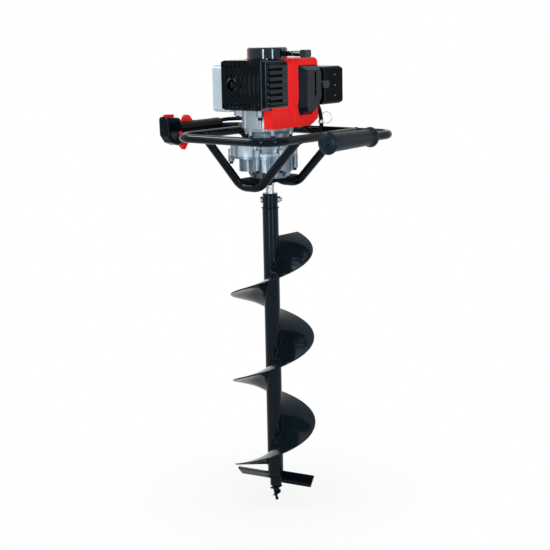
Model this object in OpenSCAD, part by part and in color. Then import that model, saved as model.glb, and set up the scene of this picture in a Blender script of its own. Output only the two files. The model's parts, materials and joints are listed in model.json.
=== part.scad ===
// One-person petrol earth auger: engine, gearbox, handlebar frame and a 200 mm drill bit.
// The origin is the tip of the pilot screw, on the drill axis, with +Z up. Sizes are in millimetres.

/* [Drill bit] */
// Diameter that the flight and the blades sweep
bit_d = 200; // [150:10:240]
// Rise of the flight in one turn
flight_pitch = 214; // [180:2:220]
// Plate thickness of the flight
flight_t = 4; // [3:0.5:6]
// Height of the flight's lower end above the tip
flight_z0 = 96; // [92:1:110]
// Turns of the flight
flight_turns = 2.635; // [1.5:0.005:2.7]
// Direction of the flight's lower end
flight_start = 220; // [0:1:359]
// Outer diameter of the bit's tube
tube_d = 38; // [36:1:44]
// Wall of the bit's tube
tube_wall = 4; // [3:0.5:4.5]
// Length of the bit's tube
tube_len = 669; // [640:1:760]
// Length of the pilot screw
pilot_len = 44; // [38:1:52]
// Height of the hub between pilot screw and tube
hub_h = 20; // [16:1:26]
// Diameter of the hub
hub_d = 28; // [22:1:32]
// Turns of the pilot screw's thread
pilot_turns = 2; // [1.5:0.25:2.5]
// Outer radius of the pilot screw's thread at its top
pilot_thread_r = 17; // [14:0.5:19]
// Width of a cutting blade
blade_w = 30; // [24:1:34]
// Thickness of a cutting blade
blade_t = 6; // [4:0.5:7]
// Tilt of the cutting blades
blade_tilt = 45; // [30:1:55]
// Direction of the first cutting blade
blade_dir = 12; // [0:1:180]

/* [Coupling] */
// Outer diameter of the coupling sleeve
sleeve_d = 36; // [34:0.5:38]
// Height of the sleeve above the tube
sleeve_len = 34.5; // [30:0.5:45]
// Depth of the sleeve inside the tube
sleeve_in = 43; // [36:1:60]
// Diameter of the output shaft
shaft_d = 20; // [18:0.5:22]
// Direction of the coupling bolt
coupling_dir = 40; // [0:1:179]
// Diameter of the coupling bolt
coupling_bolt_d = 8; // [6:0.5:8]
// Clear length of shaft between sleeve and base plate
shaft_gap = 30.5; // [26:0.5:40]

/* [Frame] */
// Outer diameter of the frame tubes
frame_od = 20; // [19:0.5:22]
// Wall of the frame tubes
frame_wall = 2; // [1.5:0.1:3]
// Spacing of the guard's side runs
guard_w = 292; // [288:2:330]
// Reach of the guard in front of the drill axis
guard_front = 170; // [160:1:200]
// Bend radius of the guard's corners
guard_bend = 55; // [40:1:70]
// Spacing of the handlebar's arms
bar_w = 508; // [480:2:560]
// Reach of the handlebar behind the drill axis
bar_back = 150; // [146:1:180]
// Bend radius of the handlebar's corners
bar_bend = 42; // [36:1:60]
// Rise of the struts from the base plate to the guard
strut_rise = 118; // [114:1:120]
// Spacing of the two struts
strut_gap = 140; // [138:1:146]
// Bend radius of the struts
strut_bend = 45; // [36:1:50]
// Width of the base plate
plate_w = 80; // [72:1:96]
// Length of the base plate
plate_l = 158; // [154:1:176]
// Thickness of the base plate
plate_t = 8; // [6:0.5:10]

/* [Grips] */
// Length of the rubber grip
grip_len = 174; // [150:1:200]
// Front end of the rubber grip, ahead of the drill axis
grip_front = 115; // [100:1:130]
// Radius of the rubber grip's body at its front
grip_r = 21.5; // [18:0.5:24]
// Radius of the rubber grip's end flange
grip_flange_r = 26; // [24:0.5:30]
// Rear end of the throttle handle, behind the drill axis
handle_back = 120; // [110:1:125]
// Half width of the throttle handle's body
handle_r = 17; // [15:0.5:18]

/* [Gearbox] */
// Tooth module of the gears
gear_m = 1.25; // [1.25:0.05:1.35]
// Teeth of the pinions
pinion_n = 12; // [12:1:12]
// Teeth of the gears
gear_n = 60; // [56:1:62]
// Width of the gears
gear_w = 12; // [10:0.5:13]
// Direction of the layshaft from the drill axis
lay_dir = 220; // [0:1:359]
// Height of the lower housing
lower_h = 53; // [53:1:60]
// Height of the upper housing
upper_h = 32; // [32:1:40]
// Radius of the lower housing
lower_r = 55; // [54:0.5:58]
// Radius of the upper housing
upper_r = 58; // [57:0.5:62]
// Radius of the housing's neck
neck_r = 42; // [41:0.5:46]
// Height of the housing's neck
neck_h = 16; // [14:0.5:18]

/* [Engine] */
// Height of the clutch housing
clutch_h = 32; // [32:0.5:36]
// Inner radius of the clutch drum
drum_r = 38; // [36:0.5:39]
// Height of the fan housing
fan_h = 44; // [44:1:50]
// Radius of the fan housing
fan_r = 62; // [60:0.5:63]
// Height of the engine block
block_h = 106; // [104:1:110]
// Height of the cylinder's axis above the block's foot
cyl_h = 57; // [55:1:60]
// Width of the engine's covers
cover_w = 134; // [132:1:140]
// Front of the cylinder cover, ahead of the drill axis
cover_front = 92; // [91:0.5:96]
// Plane where the cylinder cover meets the shroud, ahead of the drill axis
cover_back = 8; // [6:0.5:12]
// Wall of the covers and the shroud
cover_wall = 2.5; // [2:0.1:3]
// Rear of the shroud, behind the drill axis
shroud_back = 103; // [100:0.5:106]
// Depth of the shroud's skirt below the block's foot
skirt_h = 43; // [40:1:46]
// Radius of the starter housing
starter_r = 47; // [46:0.5:50]
// Height of the starter housing
starter_h = 25; // [24:0.5:30]
// Reach of the air filter behind the drill axis
filter_back = 213; // [205:1:220]

/* [Tank] */
// Depth of the fuel tank away from the engine
tank_w = 62; // [50:1:66]
// Length of the fuel tank
tank_l = 128; // [120:1:134]
// Height of the fuel tank
tank_h = 109; // [104:1:112]
// Wall of the fuel tank
tank_wall = 2.5; // [2:0.1:3.5]

/* [Fits] */
// Radial gap of a running fit
run_fit = 0.05; // [0.03:0.01:0.08]
// Radial gap of parts that are welded, pressed or bolted together
seat_fit = 0.03; // [0.02:0.01:0.05]
// Side gap of levers in their slots
slot_gap = 0.6; // [0.4:0.1:1]

/* [Hidden] */
$fn = 48;

// Heights along the drill axis, from the tip up
tube_z0 = pilot_len + hub_h;
tube_z1 = tube_z0 + tube_len;
sleeve_z1 = tube_z1 + sleeve_len;
plate_z0 = sleeve_z1 + shaft_gap;
gear_z0 = plate_z0 + plate_t;
split_z = gear_z0 + lower_h;
clutch_z0 = split_z + upper_h;
fan_z0 = clutch_z0 + clutch_h;
block_z0 = fan_z0 + fan_h;
block_z1 = block_z0 + block_h;
cyl_z = block_z0 + cyl_h;
top_z = block_z1 + 9;
strut_z = plate_z0 - frame_od / 2;
ring_z = strut_z + strut_rise;

// Frame
frame_r = frame_od / 2;
guard_x = guard_w / 2;
bar_x = bar_w / 2;
strut_y = strut_gap / 2;
strut_angle = 45;
strut_tangent = strut_bend * tan(strut_angle / 2);
strut_half = floor(guard_x - strut_rise - strut_tangent);
bend_swell = 0.05;
left_arm_front = -25;
handle_y = -16;
grip_wall_end = 10;

// Bit
bit_r = bit_d / 2;
tube_r = tube_d / 2;
tube_bore_r = tube_r - tube_wall;
shaft_r = shaft_d / 2;
flight_step = 10;
coupling_z = tube_z1 + sleeve_len * 0.55;
coupling_r = coupling_bolt_d / 2;
shaft_z0 = tube_z1 - sleeve_in + 10;

// Gear train
pinion_pitch_r = gear_m * pinion_n / 2;
gear_pitch_r = gear_m * gear_n / 2;
lay_a = pinion_pitch_r + gear_pitch_r;
gear_tip_r = gear_pitch_r + gear_m;
lay_r = 5.5;
input_r = 6;
floor_z = gear_z0 + 26;
out_gear_z = floor_z + 4;
lay_gear_z = split_z + 5;
roof_t = 8;
roof_z = clutch_z0 - roof_t;
output_bearing_r = 21;
output_bearing_w = 12;
input_bearing_r = 14;
housing_wall = 8;
bulge_r = gear_tip_r + 7;
bolt_r = 3;
boss_r = 7;
boss_h = 14;
ring_boss_h = 32;
bolt_head_r = 4.5;
// Corner bolts of the gearbox as direction, distance from the drill axis and boss height, seen from the layshaft
bolt_ring = lower_r + bolt_head_r + 0.3;
gearbox_bolt_places = [[0, lay_a + bulge_r - 1.5, boss_h],
    for (a = [62, 118, 180, 242, 298]) [a, bolt_ring, ring_boss_h]];
base_bolt_places = [for (sx = [-1, 1], sy = [-1, 1]) [sx * 20, sy * 27]];
base_bolt_r = 4;

// Clutch
drum_wall = 3;
drum_z0 = clutch_z0 + 4;
drum_z1 = clutch_z0 + 28;
shoe_r = drum_r - 2;
shoe_z0 = clutch_z0 + 12;
shoe_z1 = clutch_z0 + 25;
shoe_pin_r = 3;
shoe_pin_a = 30;
shoe_pin_dir = 20;
fan_disc_z = fan_z0 + 7;
crank_r = 6;
main_r = 7.5;

// Engine covers
cover_x = cover_w / 2;
cover_round = 14;
cover_corner = 22;
cover_z1 = block_z1 + 7;
block_r = 42;
cyl_front = -72;
block_front = -36;
port_x = 44;
plug_r = 5;
plug_x = -14;
plug_tilt = 40;
plug_hole_r = 14;
plug_hole_x = plug_x - (cover_front + cyl_front + 2 - cover_wall / 2) * tan(plug_tilt);
carb_y0 = shroud_back + 2;
carb_y1 = carb_y0 + 26;
carb_z = block_z0 + 40;
filter_y0 = carb_y1 + 6;
choke_y = carb_y1 + 3;
choke_z = block_z0 + 50;
choke_pin_r = 2.5;
filter_x = 64;
filter_z0 = block_z0 + 1;
filter_z1 = block_z0 + 91;
tank_x = -cover_x - 4;
tank_y0 = -52;
tank_z0 = block_z0 - 9;
tank_round = 12;
cap_x = tank_x - tank_w / 2 + 12;
cap_y = tank_y0 + tank_l - 18;
cap_r = 17;
neck_in_r = 13;

// Starter
rope_y = 24;
rope_r = 2;
rope_z = top_z + 10;
rope_grip_x = 86;
post_r = 6;

// Throttle handle, measured from the left arm's axis as [along y, along z]
head_points = [[-69, 31], [-38, 27], [-27, -22], [-41, -24], [-57, -18], [-68, -4]];
head_round = 8;
body_rise = 5;
trigger_pin = [-34, -20];
lever_pin = [22, 18.5];
switch_pin = [-56, 32];
button_at = [-37, -3];
button_r = 5.5;
lever_half = 4.9;
pin_r = 2;
cable_r = 5;
cable_top = 16.5;

// Throttle cable's route, from the handle round behind the engine to the carburettor
cable_z = ring_z + cable_top;
cable_exit = handle_y + handle_back;
cable_route = [[-bar_x, cable_exit - 24, cable_z], [-bar_x, cable_exit + 6, cable_z],
    [-bar_x + 6, bar_back - 10, cable_z + 1.5], [-bar_x + 36, bar_back + 18, cable_z + 1.5],
    [-bar_x + 112, bar_back + 24, cable_z], [-70, bar_back + 22, cable_z + 1], [-30, bar_back + 4, cable_z + 2],
    [0, bar_back - 18, cable_z - 6], [30, bar_back - 26, cable_z - 18], [50, bar_back - 24, cable_z - 18],
    [57, bar_back - 22, cable_z - 2], [55, carb_y0 + 20, block_z0 - 14], [48, carb_y0 + 14, block_z0 + 14],
    [46, carb_y0 + 13, carb_z - 2.3]];
// Fuel hose's route, from the tank to the carburettor
hose_x = tank_x - 29;
hose_y = tank_y0 + tank_l;
hose_z = block_z0 + 12;
fuel_route = [[hose_x, hose_y + 0.3, hose_z], [hose_x, hose_y + 20, hose_z], [hose_x + 14, carb_y0 + 9, hose_z + 3],
    [hose_x + 46, carb_y0 + 16, hose_z + 10], [-20.3, carb_y0 + 16, carb_z - 10]];
// Ignition lead's route, from the plug boot to the coil
coil_front = -19;
coil_h = 38;
lead_route = [[-30, cyl_front - 10.7, cyl_z], [-36, cyl_front - 5.6, cyl_z - 1], [-44.5, cyl_front - 3.6, cyl_z - 4],
    [-52, cyl_front + 2, cyl_z - 10], [-55, cyl_front + 14, cyl_z - 17], [-55, cyl_front + 32, block_z0 + coil_h - 2],
    [-55, coil_front - 0.3, block_z0 + coil_h - 4]];

// Small helpers
function unit(v) = v / norm(v);

// Point between b and c of a smooth curve through a, b, c and d
function smooth_point(a, b, c, d, t) =
    0.5 * (2 * b + (c - a) * t + (2 * a - 5 * b + 4 * c - d) * t * t + (3 * b - a - 3 * c + d) * t * t * t);

// Smooth curve through a route, with a number of steps per stretch
function smooth_route(p, steps) = concat(
    [for (i = [0:len(p) - 2], k = [0:steps - 1])
        smooth_point(p[max(i - 1, 0)], p[i], p[i + 1], p[min(i + 2, len(p) - 1)], k / steps)],
    [p[len(p) - 1]]);

// Ring of points round a route's point
function route_ring(p, i, r, sides, up) =
    let (
        t = unit(p[min(i + 1, len(p) - 1)] - p[max(i - 1, 0)]),
        side = unit(cross(t, up)),
        top = cross(side, t)
    )
    [for (k = [0:sides - 1]) p[i] + r * (side * cos(360 * k / sides) + top * sin(360 * k / sides))];

// Closed skin over a row of rings that run counter-clockwise when looking along the row
module skin(rings) {
    n = len(rings[0]);
    last = len(rings) - 1;
    points = [for (ring = rings, p = ring) p];
    sides = [for (i = [0:last - 1], k = [0:n - 1])
        let (a = i * n + k, b = i * n + (k + 1) % n)
        each [[b, b + n, a + n], [b, a + n, a]]];
    caps = [[for (k = [n - 1:-1:0]) k], [for (k = [0:n - 1]) last * n + k]];
    polyhedron(points, concat(sides, caps));
}

module cord(route, r, sides, steps, up) {
    p = smooth_route(route, steps);
    skin([for (i = [0:len(p) - 1]) route_ring(p, i, r, sides, up)]);
}

module rounded_rect(w, h, r) {
    square([w - 2 * r, h], center = true);
    square([w, h - 2 * r], center = true);
    for (sx = [-1, 1], sy = [-1, 1])
        translate([sx * (w / 2 - r), sy * (h / 2 - r)]) circle(r);
}

module ring(r1, r0, h) {
    difference() {
        cylinder(r = r1, h = h);
        translate([0, 0, -1]) cylinder(r = r0, h = h + 2);
    }
}

module tube_section() {
    difference() {
        circle(frame_r);
        circle(frame_r - frame_wall);
    }
}

module tube_run(l) {
    linear_extrude(l) tube_section();
}

module tube_bend(r, a) {
    rotate_extrude(angle = a) translate([r, 0]) tube_section();
}

// Solid along X through a point
module x_rod(r, x0, x1, y, z) {
    translate([x0, y, z]) rotate([0, 90, 0]) cylinder(r = r, h = x1 - x0);
}

// Solid along Y through a point
module y_rod(r, y0, y1, x, z) {
    translate([x, y0, z]) rotate([-90, 0, 0]) cylinder(r = r, h = y1 - y0);
}

module box(x0, x1, y0, y1, z0, z1) {
    translate([x0, y0, z0]) cube([x1 - x0, y1 - y0, z1 - z0]);
}

// Outline of a spur gear with straight-sided teeth; half angles are those of a tooth's root and tip
module gear_outline(n, root_half, tip_half, turn) {
    root_r = gear_m * (n / 2 - 1.25);
    tip_r = gear_m * (n / 2 + 1);
    polygon([for (i = [0:n - 1]) let (a = turn + 360 * i / n) each [
        root_r * [cos(a - root_half), sin(a - root_half)],
        tip_r * [cos(a - tip_half), sin(a - tip_half)],
        tip_r * [cos(a + tip_half), sin(a + tip_half)],
        root_r * [cos(a + root_half), sin(a + root_half)]]]);
}

module pinion_outline() {
    gear_outline(pinion_n, 84 / pinion_n, 30 / pinion_n, 0);
}

module wheel_outline() {
    gear_outline(gear_n, 84 / gear_n, 36 / gear_n, 180 / gear_n);
}

// The drill bit

// Thread of the pilot screw as a fin that widens upwards
module pilot_thread() {
    n = 40;
    fin = 1.6;
    skin([for (i = [0:n])
        let (
            s = i / n,
            a = blade_dir + 360 * pilot_turns * s,
            z = 3 + (pilot_len - 6) * s,
            r1 = 4 + (pilot_thread_r - 4) * s,
            r0 = 0.5 + 7 * s,
            d = [cos(a), sin(a), 0]
        )
        [d * r0 + [0, 0, z - fin * 1.4], d * r1 + [0, 0, z - fin * 0.5],
            d * r1 + [0, 0, z + fin * 0.5], d * r0 + [0, 0, z + fin * 1.4]]]);
}

module pilot_point() color("#1a1e24") {
    union() {
        cylinder(r1 = 0.8, r2 = hub_d / 2 - 4, h = pilot_len);
        pilot_thread();
        translate([0, 0, pilot_len - 4]) cylinder(r = hub_d / 2, h = hub_h + 4);
        translate([0, 0, tube_z0]) cylinder(r = tube_bore_r - seat_fit, h = hub_h + 4);
    }
}

module cutting_blade() {
    bevel = 7;
    translate([0, 0, tube_z0]) rotate([blade_tilt, 0, 0]) rotate([90, 0, 90]) linear_extrude(bit_r)
        polygon([[-blade_w / 2, -blade_t / 2], [blade_w / 2, -blade_t / 2], [blade_w / 2, blade_t / 2],
            [-blade_w / 2 + bevel, blade_t / 2]]);
}

module cutting_blades() color("#15181c") {
    difference() {
        for (a = [0, 180]) rotate([0, 0, blade_dir + a]) cutting_blade();
        cylinder(r = tube_r + seat_fit, h = tube_z0 + 60);
    }
}

module flight() color("#15181c") {
    steps = round(flight_turns * 360 / flight_step);
    root_r = (tube_r + seat_fit) / cos(flight_step / 2);
    skin([for (i = [0:steps])
        let (
            a = flight_start + 360 * flight_turns * i / steps,
            z = flight_z0 + flight_pitch * flight_turns * i / steps,
            d = [cos(a), sin(a), 0]
        )
        [d * root_r + [0, 0, z - flight_t / 2], d * bit_r + [0, 0, z - flight_t / 2],
            d * bit_r + [0, 0, z + flight_t / 2], d * root_r + [0, 0, z + flight_t / 2]]]);
}

module bit_tube() color("#22272e") {
    translate([0, 0, tube_z0]) ring(tube_r, tube_bore_r, tube_len);
}

module coupling_hole(r) {
    rotate([0, 0, coupling_dir]) x_rod(r, -tube_d, tube_d, 0, coupling_z);
}

module coupling_sleeve() color("#1d2128") {
    difference() {
        union() {
            translate([0, 0, tube_z1]) cylinder(r = sleeve_d / 2, h = sleeve_len);
            translate([0, 0, tube_z1 - sleeve_in]) cylinder(r = tube_bore_r - seat_fit, h = sleeve_in);
        }
        translate([0, 0, shaft_z0]) cylinder(r = shaft_r + seat_fit, h = sleeve_len + sleeve_in);
        coupling_hole(coupling_r + seat_fit);
    }
}

// Bolt through sleeve and shaft, with its nut as a second solid
module coupling_bolt() color("#8d9196") {
    head_r = coupling_r * 1.87;
    head_x = sleeve_d / 2 + 0.1;
    head_t = coupling_r * 1.3;
    end_x = head_x + head_t + 5;
    rotate([0, 0, coupling_dir]) translate([0, 0, coupling_z]) rotate([0, 90, 0]) {
        translate([0, 0, -head_x]) cylinder(r = coupling_r, h = head_x + end_x);
        translate([0, 0, -head_x - head_t]) cylinder(r = head_r, h = head_t, $fn = 6);
        translate([0, 0, head_x]) difference() {
            cylinder(r = head_r, h = head_t * 1.2, $fn = 6);
            translate([0, 0, -1]) cylinder(r = coupling_r + seat_fit, h = head_t * 2);
        }
    }
}

// The gearbox

module output_shaft() color("#b9bec4") {
    difference() {
        translate([0, 0, shaft_z0 + 2]) cylinder(r = shaft_r, h = out_gear_z + gear_w + 8 - shaft_z0);
        coupling_hole(coupling_r + seat_fit);
    }
}

module output_gear() color("#8b9096") {
    rotate([0, 0, lay_dir]) difference() {
        union() {
            translate([0, 0, out_gear_z]) linear_extrude(gear_w) wheel_outline();
            translate([0, 0, out_gear_z + gear_w]) cylinder(r = shaft_r + 6, h = 5);
        }
        translate([0, 0, floor_z]) cylinder(r = shaft_r + seat_fit, h = gear_w + 20);
    }
}

module bearings() color("#9aa0a6") {
    for (i = [0, 1]) translate([0, 0, floor_z - (i + 1) * output_bearing_w])
        ring(output_bearing_r - seat_fit, shaft_r + run_fit, output_bearing_w);
    translate([0, 0, roof_z]) ring(input_bearing_r - seat_fit, input_r + run_fit, roof_t);
}

module gearbox_bolt_circle() {
    for (p = gearbox_bolt_places)
        rotate([0, 0, p[0]]) translate([p[1], 0, 0]) let ($boss = p[2]) children();
}

// Foot print of a housing: a round body with a bulge for the layshaft
module housing_outline(body_r, lobe_r) {
    circle(body_r);
    translate([lay_a, 0]) circle(lobe_r);
}

module gearbox_lower() color("#aab2ba") {
    lobe_r = lower_r - lay_a + 16;
    rib_r = 3.7;
    rib_at = min(lower_r - 1, upper_r - rib_r - 1);
    difference() {
        union() {
            translate([0, 0, gear_z0]) cylinder(r = neck_r, h = neck_h);
            rotate([0, 0, lay_dir]) {
                translate([0, 0, gear_z0 + neck_h]) linear_extrude(lower_h - neck_h)
                    housing_outline(lower_r, lobe_r);
                translate([0, 0, split_z - 6]) linear_extrude(6) housing_outline(upper_r, bulge_r);
                gearbox_bolt_circle() translate([0, 0, split_z - $boss]) cylinder(r = boss_r, h = $boss);
                for (i = [0:9]) rotate([0, 0, 36 * i]) translate([0, 2.5, gear_z0]) rotate([90, 0, 0])
                    linear_extrude(5) polygon([[neck_r - 3, 2], [neck_r + 3, 2], [lower_r - 2, neck_h + 1],
                        [neck_r - 3, neck_h + 1]]);
                for (i = [0:9]) rotate([0, 0, 36 * i + 18]) translate([rib_at, 0, gear_z0 + neck_h])
                    cylinder(r = rib_r, h = lower_h - neck_h);
            }
        }
        translate([0, 0, gear_z0 - 1]) cylinder(r = shaft_r + 1, h = lower_h);
        translate([0, 0, floor_z - 2 * output_bearing_w]) cylinder(r = output_bearing_r, h = lower_h);
        rotate([0, 0, lay_dir]) {
            translate([0, 0, floor_z]) linear_extrude(lower_h)
                housing_outline(lower_r - housing_wall, lobe_r - housing_wall);
            translate([lay_a, 0, floor_z - 7]) cylinder(r = lay_r + run_fit, h = 10);
            gearbox_bolt_circle() translate([0, 0, split_z - $boss - 2])
                cylinder(r = bolt_r + seat_fit, h = $boss + 4);
        }
        for (p = base_bolt_places) translate([p[0], p[1], gear_z0 - 1])
            cylinder(r = base_bolt_r + seat_fit, h = neck_h);
    }
}

module gearbox_upper() color("#b3bac1") {
    difference() {
        rotate([0, 0, lay_dir]) union() {
            translate([0, 0, split_z]) linear_extrude(upper_h) housing_outline(upper_r - 6, bulge_r);
            translate([0, 0, split_z]) linear_extrude(7) housing_outline(upper_r, bulge_r);
            gearbox_bolt_circle() translate([0, 0, split_z]) cylinder(r = boss_r, h = 15);
            for (i = [0:11]) rotate([0, 0, 30 * i]) translate([upper_r - 7, 0, split_z])
                cylinder(r = 3.5, h = upper_h);
        }
        rotate([0, 0, lay_dir]) {
            translate([0, 0, split_z - 1]) linear_extrude(upper_h - roof_t + 1)
                housing_outline(lower_r - housing_wall, gear_tip_r + 1.5);
            translate([lay_a, 0, roof_z - 1]) cylinder(r = lay_r + run_fit, h = 6);
            gearbox_bolt_circle() translate([0, 0, split_z - 1]) cylinder(r = bolt_r + seat_fit, h = 12);
        }
        translate([0, 0, roof_z - 1]) cylinder(r = input_bearing_r, h = roof_t + 2);
    }
}

module gearbox_bolts() color("#17191c") {
    rotate([0, 0, lay_dir]) gearbox_bolt_circle() {
        translate([0, 0, split_z - $boss]) cylinder(r = bolt_r, h = $boss + 10);
        translate([0, 0, split_z - $boss - 6]) cylinder(r = bolt_head_r, h = 6);
    }
}

module layshaft() color("#a5abb1") {
    rotate([0, 0, lay_dir]) translate([lay_a, 0, 0]) {
        translate([0, 0, floor_z - 6.5]) cylinder(r = lay_r, h = roof_z + 4 - floor_z + 6.5);
        translate([0, 0, out_gear_z - 2]) linear_extrude(gear_w + 4) pinion_outline();
    }
}

module layshaft_gear() color("#8b9096") {
    rotate([0, 0, lay_dir]) translate([lay_a, 0, 0]) difference() {
        union() {
            translate([0, 0, lay_gear_z]) linear_extrude(gear_w) wheel_outline();
            translate([0, 0, lay_gear_z + gear_w]) cylinder(r = lay_r + 6, h = 5);
        }
        translate([0, 0, lay_gear_z - 1]) cylinder(r = lay_r + seat_fit, h = gear_w + 8);
    }
}

// Clutch-side shaft with its pinion cut on the lower end
module input_shaft() color("#a5abb1") {
    rotate([0, 0, lay_dir]) {
        translate([0, 0, lay_gear_z - 1]) linear_extrude(gear_w + 2) pinion_outline();
        translate([0, 0, lay_gear_z + gear_w + 1])
            cylinder(r = input_r, h = drum_z0 + 7 - lay_gear_z - gear_w - 1);
    }
}

// The clutch

module clutch_drum() color("#8b9096") {
    difference() {
        union() {
            translate([0, 0, drum_z0]) cylinder(r = drum_r + drum_wall, h = drum_z1 - drum_z0);
            translate([0, 0, clutch_z0 + 0.5]) cylinder(r = 11, h = 6);
        }
        translate([0, 0, drum_z0 + 3]) cylinder(r = drum_r, h = drum_z1);
        translate([0, 0, clutch_z0 - 1]) cylinder(r = input_r + seat_fit, h = 12);
        for (i = [0:5]) rotate([0, 0, 60 * i]) translate([24, 0, drum_z0 - 1]) cylinder(r = 5, h = 6);
    }
}

module clutch_housing() color("#b3bac1") {
    cone_r = drum_r + drum_wall + 6;
    flange_r = fan_r - 4;
    difference() {
        union() {
            translate([0, 0, clutch_z0]) cylinder(r = cone_r + 5, h = 5);
            translate([0, 0, clutch_z0]) cylinder(r = cone_r, h = clutch_h);
            translate([0, 0, clutch_z0 + clutch_h - 12]) cylinder(r1 = cone_r, r2 = flange_r, h = 6);
            translate([0, 0, clutch_z0 + clutch_h - 6]) cylinder(r = flange_r, h = 6);
            for (i = [0:5]) rotate([0, 0, 60 * i + 20]) translate([flange_r - 4, 0, clutch_z0 + clutch_h - 16])
                cylinder(r = 5.5, h = 16);
        }
        translate([0, 0, clutch_z0 + 3]) cylinder(r = drum_r + drum_wall + 2, h = clutch_h);
        translate([0, 0, clutch_z0 - 1]) cylinder(r = 13, h = 6);
    }
}

// Ring segment from one direction to another
module sector(r0, r1, a0, a1, h) {
    rotate([0, 0, a0]) rotate_extrude(angle = a1 - a0) translate([r0, 0]) square([r1 - r0, h]);
}

module clutch_shoe() {
    difference() {
        union() {
            translate([0, 0, shoe_z0]) sector(23, shoe_r - 3, 10, 165, shoe_z1 - shoe_z0);
            translate([0, 0, shoe_z0 + 1]) sector(shoe_r - 3.5, shoe_r, 40, 160, shoe_z1 - shoe_z0 - 2);
        }
        rotate([0, 0, shoe_pin_dir]) translate([shoe_pin_a, 0, shoe_z0 - 1])
            cylinder(r = shoe_pin_r + run_fit, h = shoe_z1 - shoe_z0 + 2);
    }
}

module clutch_shoe_a() color("#6f6258") {
    clutch_shoe();
}

module clutch_shoe_b() color("#6f6258") {
    rotate([0, 0, 180]) clutch_shoe();
}

module flywheel_fan() color("#9fa6ad") {
    blades = 16;
    disc_r = fan_r - 9;
    difference() {
        union() {
            translate([0, 0, fan_disc_z]) cylinder(r = disc_r, h = 6);
            translate([0, 0, fan_z0]) cylinder(r = 13, h = 22);
            for (i = [0:blades - 1]) rotate([0, 0, 360 * i / blades])
                translate([disc_r - 20, -1, fan_disc_z + 5]) cube([18, 2, 15]);
            for (a = [0, 180]) rotate([0, 0, shoe_pin_dir + a])
                translate([shoe_pin_a, 0, shoe_z0 - 2]) cylinder(r = shoe_pin_r, h = fan_disc_z - shoe_z0 + 4);
        }
        translate([0, 0, fan_z0 - 1]) cylinder(r = crank_r + seat_fit, h = 30);
    }
}

// The engine

module crankshaft() color("#b9bec4") {
    web_r = 28;
    throw = 16;
    translate([0, 0, fan_z0 - 4]) cylinder(r = crank_r, h = block_z0 - 2 - fan_z0 + 4);
    translate([0, 0, block_z0 - 2]) cylinder(r = main_r, h = cyl_z - 12 - block_z0 + 2);
    translate([0, 0, cyl_z + 12]) cylinder(r = main_r, h = block_z1 - cyl_z - 12 + 2);
    translate([0, 0, block_z1 + 2]) cylinder(r = crank_r, h = 10);
    for (s = [-1, 1]) translate([0, 0, cyl_z + s * 14 - 5]) cylinder(r = web_r, h = 10);
    translate([0, -throw, cyl_z - 10]) cylinder(r = 6.5, h = 20);
}

module crankcase() color("#aab2ba") {
    difference() {
        union() {
            translate([0, 0, block_z0]) cylinder(r = block_r, h = block_h);
            box(-34, 34, block_front, 0, cyl_z - 34, cyl_z + 34);
            box(-26, 26, 0, block_r + 2, carb_z - 22, carb_z + 22);
            for (s = [-1, 1]) x_rod(6, s > 0 ? block_r - 6 : -cover_x + cover_wall + 0.1,
                s > 0 ? cover_x - cover_wall - 0.1 : -block_r + 6, 20, block_z0 + 70);
        }
        translate([0, 0, block_z0 - 1]) cylinder(r = main_r + run_fit, h = block_h + 2);
        translate([0, 0, cyl_z - 22]) cylinder(r = 31, h = 44);
        box(-block_r, block_r, -block_r - 1, block_front, block_z0 - 1, block_z1 + 1);
    }
}

module fan_housing() color("#b3bac1") {
    floor_t = 4;
    difference() {
        union() {
            translate([0, 0, fan_z0]) cylinder(r = fan_r, h = fan_h);
            for (i = [0:7]) rotate([0, 0, 45 * i + 22]) translate([fan_r - 3, 0, fan_z0])
                cylinder(r = 5, h = fan_h - 2);
        }
        translate([0, 0, fan_z0 - 1]) cylinder(r = drum_r + 6, h = 10);
        translate([0, 0, fan_z0 + floor_t]) cylinder(r = fan_r - 5, h = fan_h - floor_t - 14);
        translate([0, 0, fan_z0]) cylinder(r = main_r + 2, h = fan_h + 1);
        for (i = [0:4]) rotate([0, 0, 100 + 20 * i])
            box(0, fan_r + 10, -4, 4, fan_z0 + 12, fan_z0 + 26);
    }
}

module cylinder_block() color("#b3bac1") {
    fins = 6;
    fin_t = 2.5;
    pitch = (block_front - 4 - cyl_front - fin_t) / (fins - 1);
    difference() {
        union() {
            y_rod(27, cyl_front, block_front, 0, cyl_z);
            box(-32, 32, block_front - 4, block_front, cyl_z - 32, cyl_z + 32);
            for (i = [0:fins - 1]) translate([0, cyl_front + i * pitch + fin_t, cyl_z]) rotate([90, 0, 0])
                linear_extrude(fin_t) rounded_rect(84, 80, 10);
            box(20, port_x, -64, -44, cyl_z - 13, cyl_z + 13);
        }
        plug_place() {
            y_rod(10.5, -60, 1, 0, 0);
            y_rod(plug_r + seat_fit, -2, 9, 0, 0);
        }
        y_rod(20, cyl_front + 12, block_front + 1, 0, cyl_z);
        x_rod(8, 15, port_x + 1, -54, cyl_z);
    }
}

// Seat of the spark plug, which leans out to the left
module plug_place() {
    translate([plug_x, cyl_front + 2, cyl_z]) rotate([0, 0, -plug_tilt]) children();
}

module spark_plug() color("#d9d6cf") {
    plug_place() {
        y_rod(plug_r, -18, 8, 0, 0);
        rotate([90, 0, 0]) cylinder(r = 9, h = 7, $fn = 6);
    }
}

// Rubber boot on the plug with the ignition lead moulded in
module plug_lead() color("#15171a") {
    plug_place() difference() {
        y_rod(8.5, -30, -7.2, 0, 0);
        y_rod(plug_r + seat_fit, -20, -6, 0, 0);
    }
    cord(lead_route, 2.8, 8, 3, [0, 0, 1]);
}

module ignition_coil() color("#1c1f23") {
    box(-62, -46, coil_front, 12, block_z0, block_z0 + coil_h);
}

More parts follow.
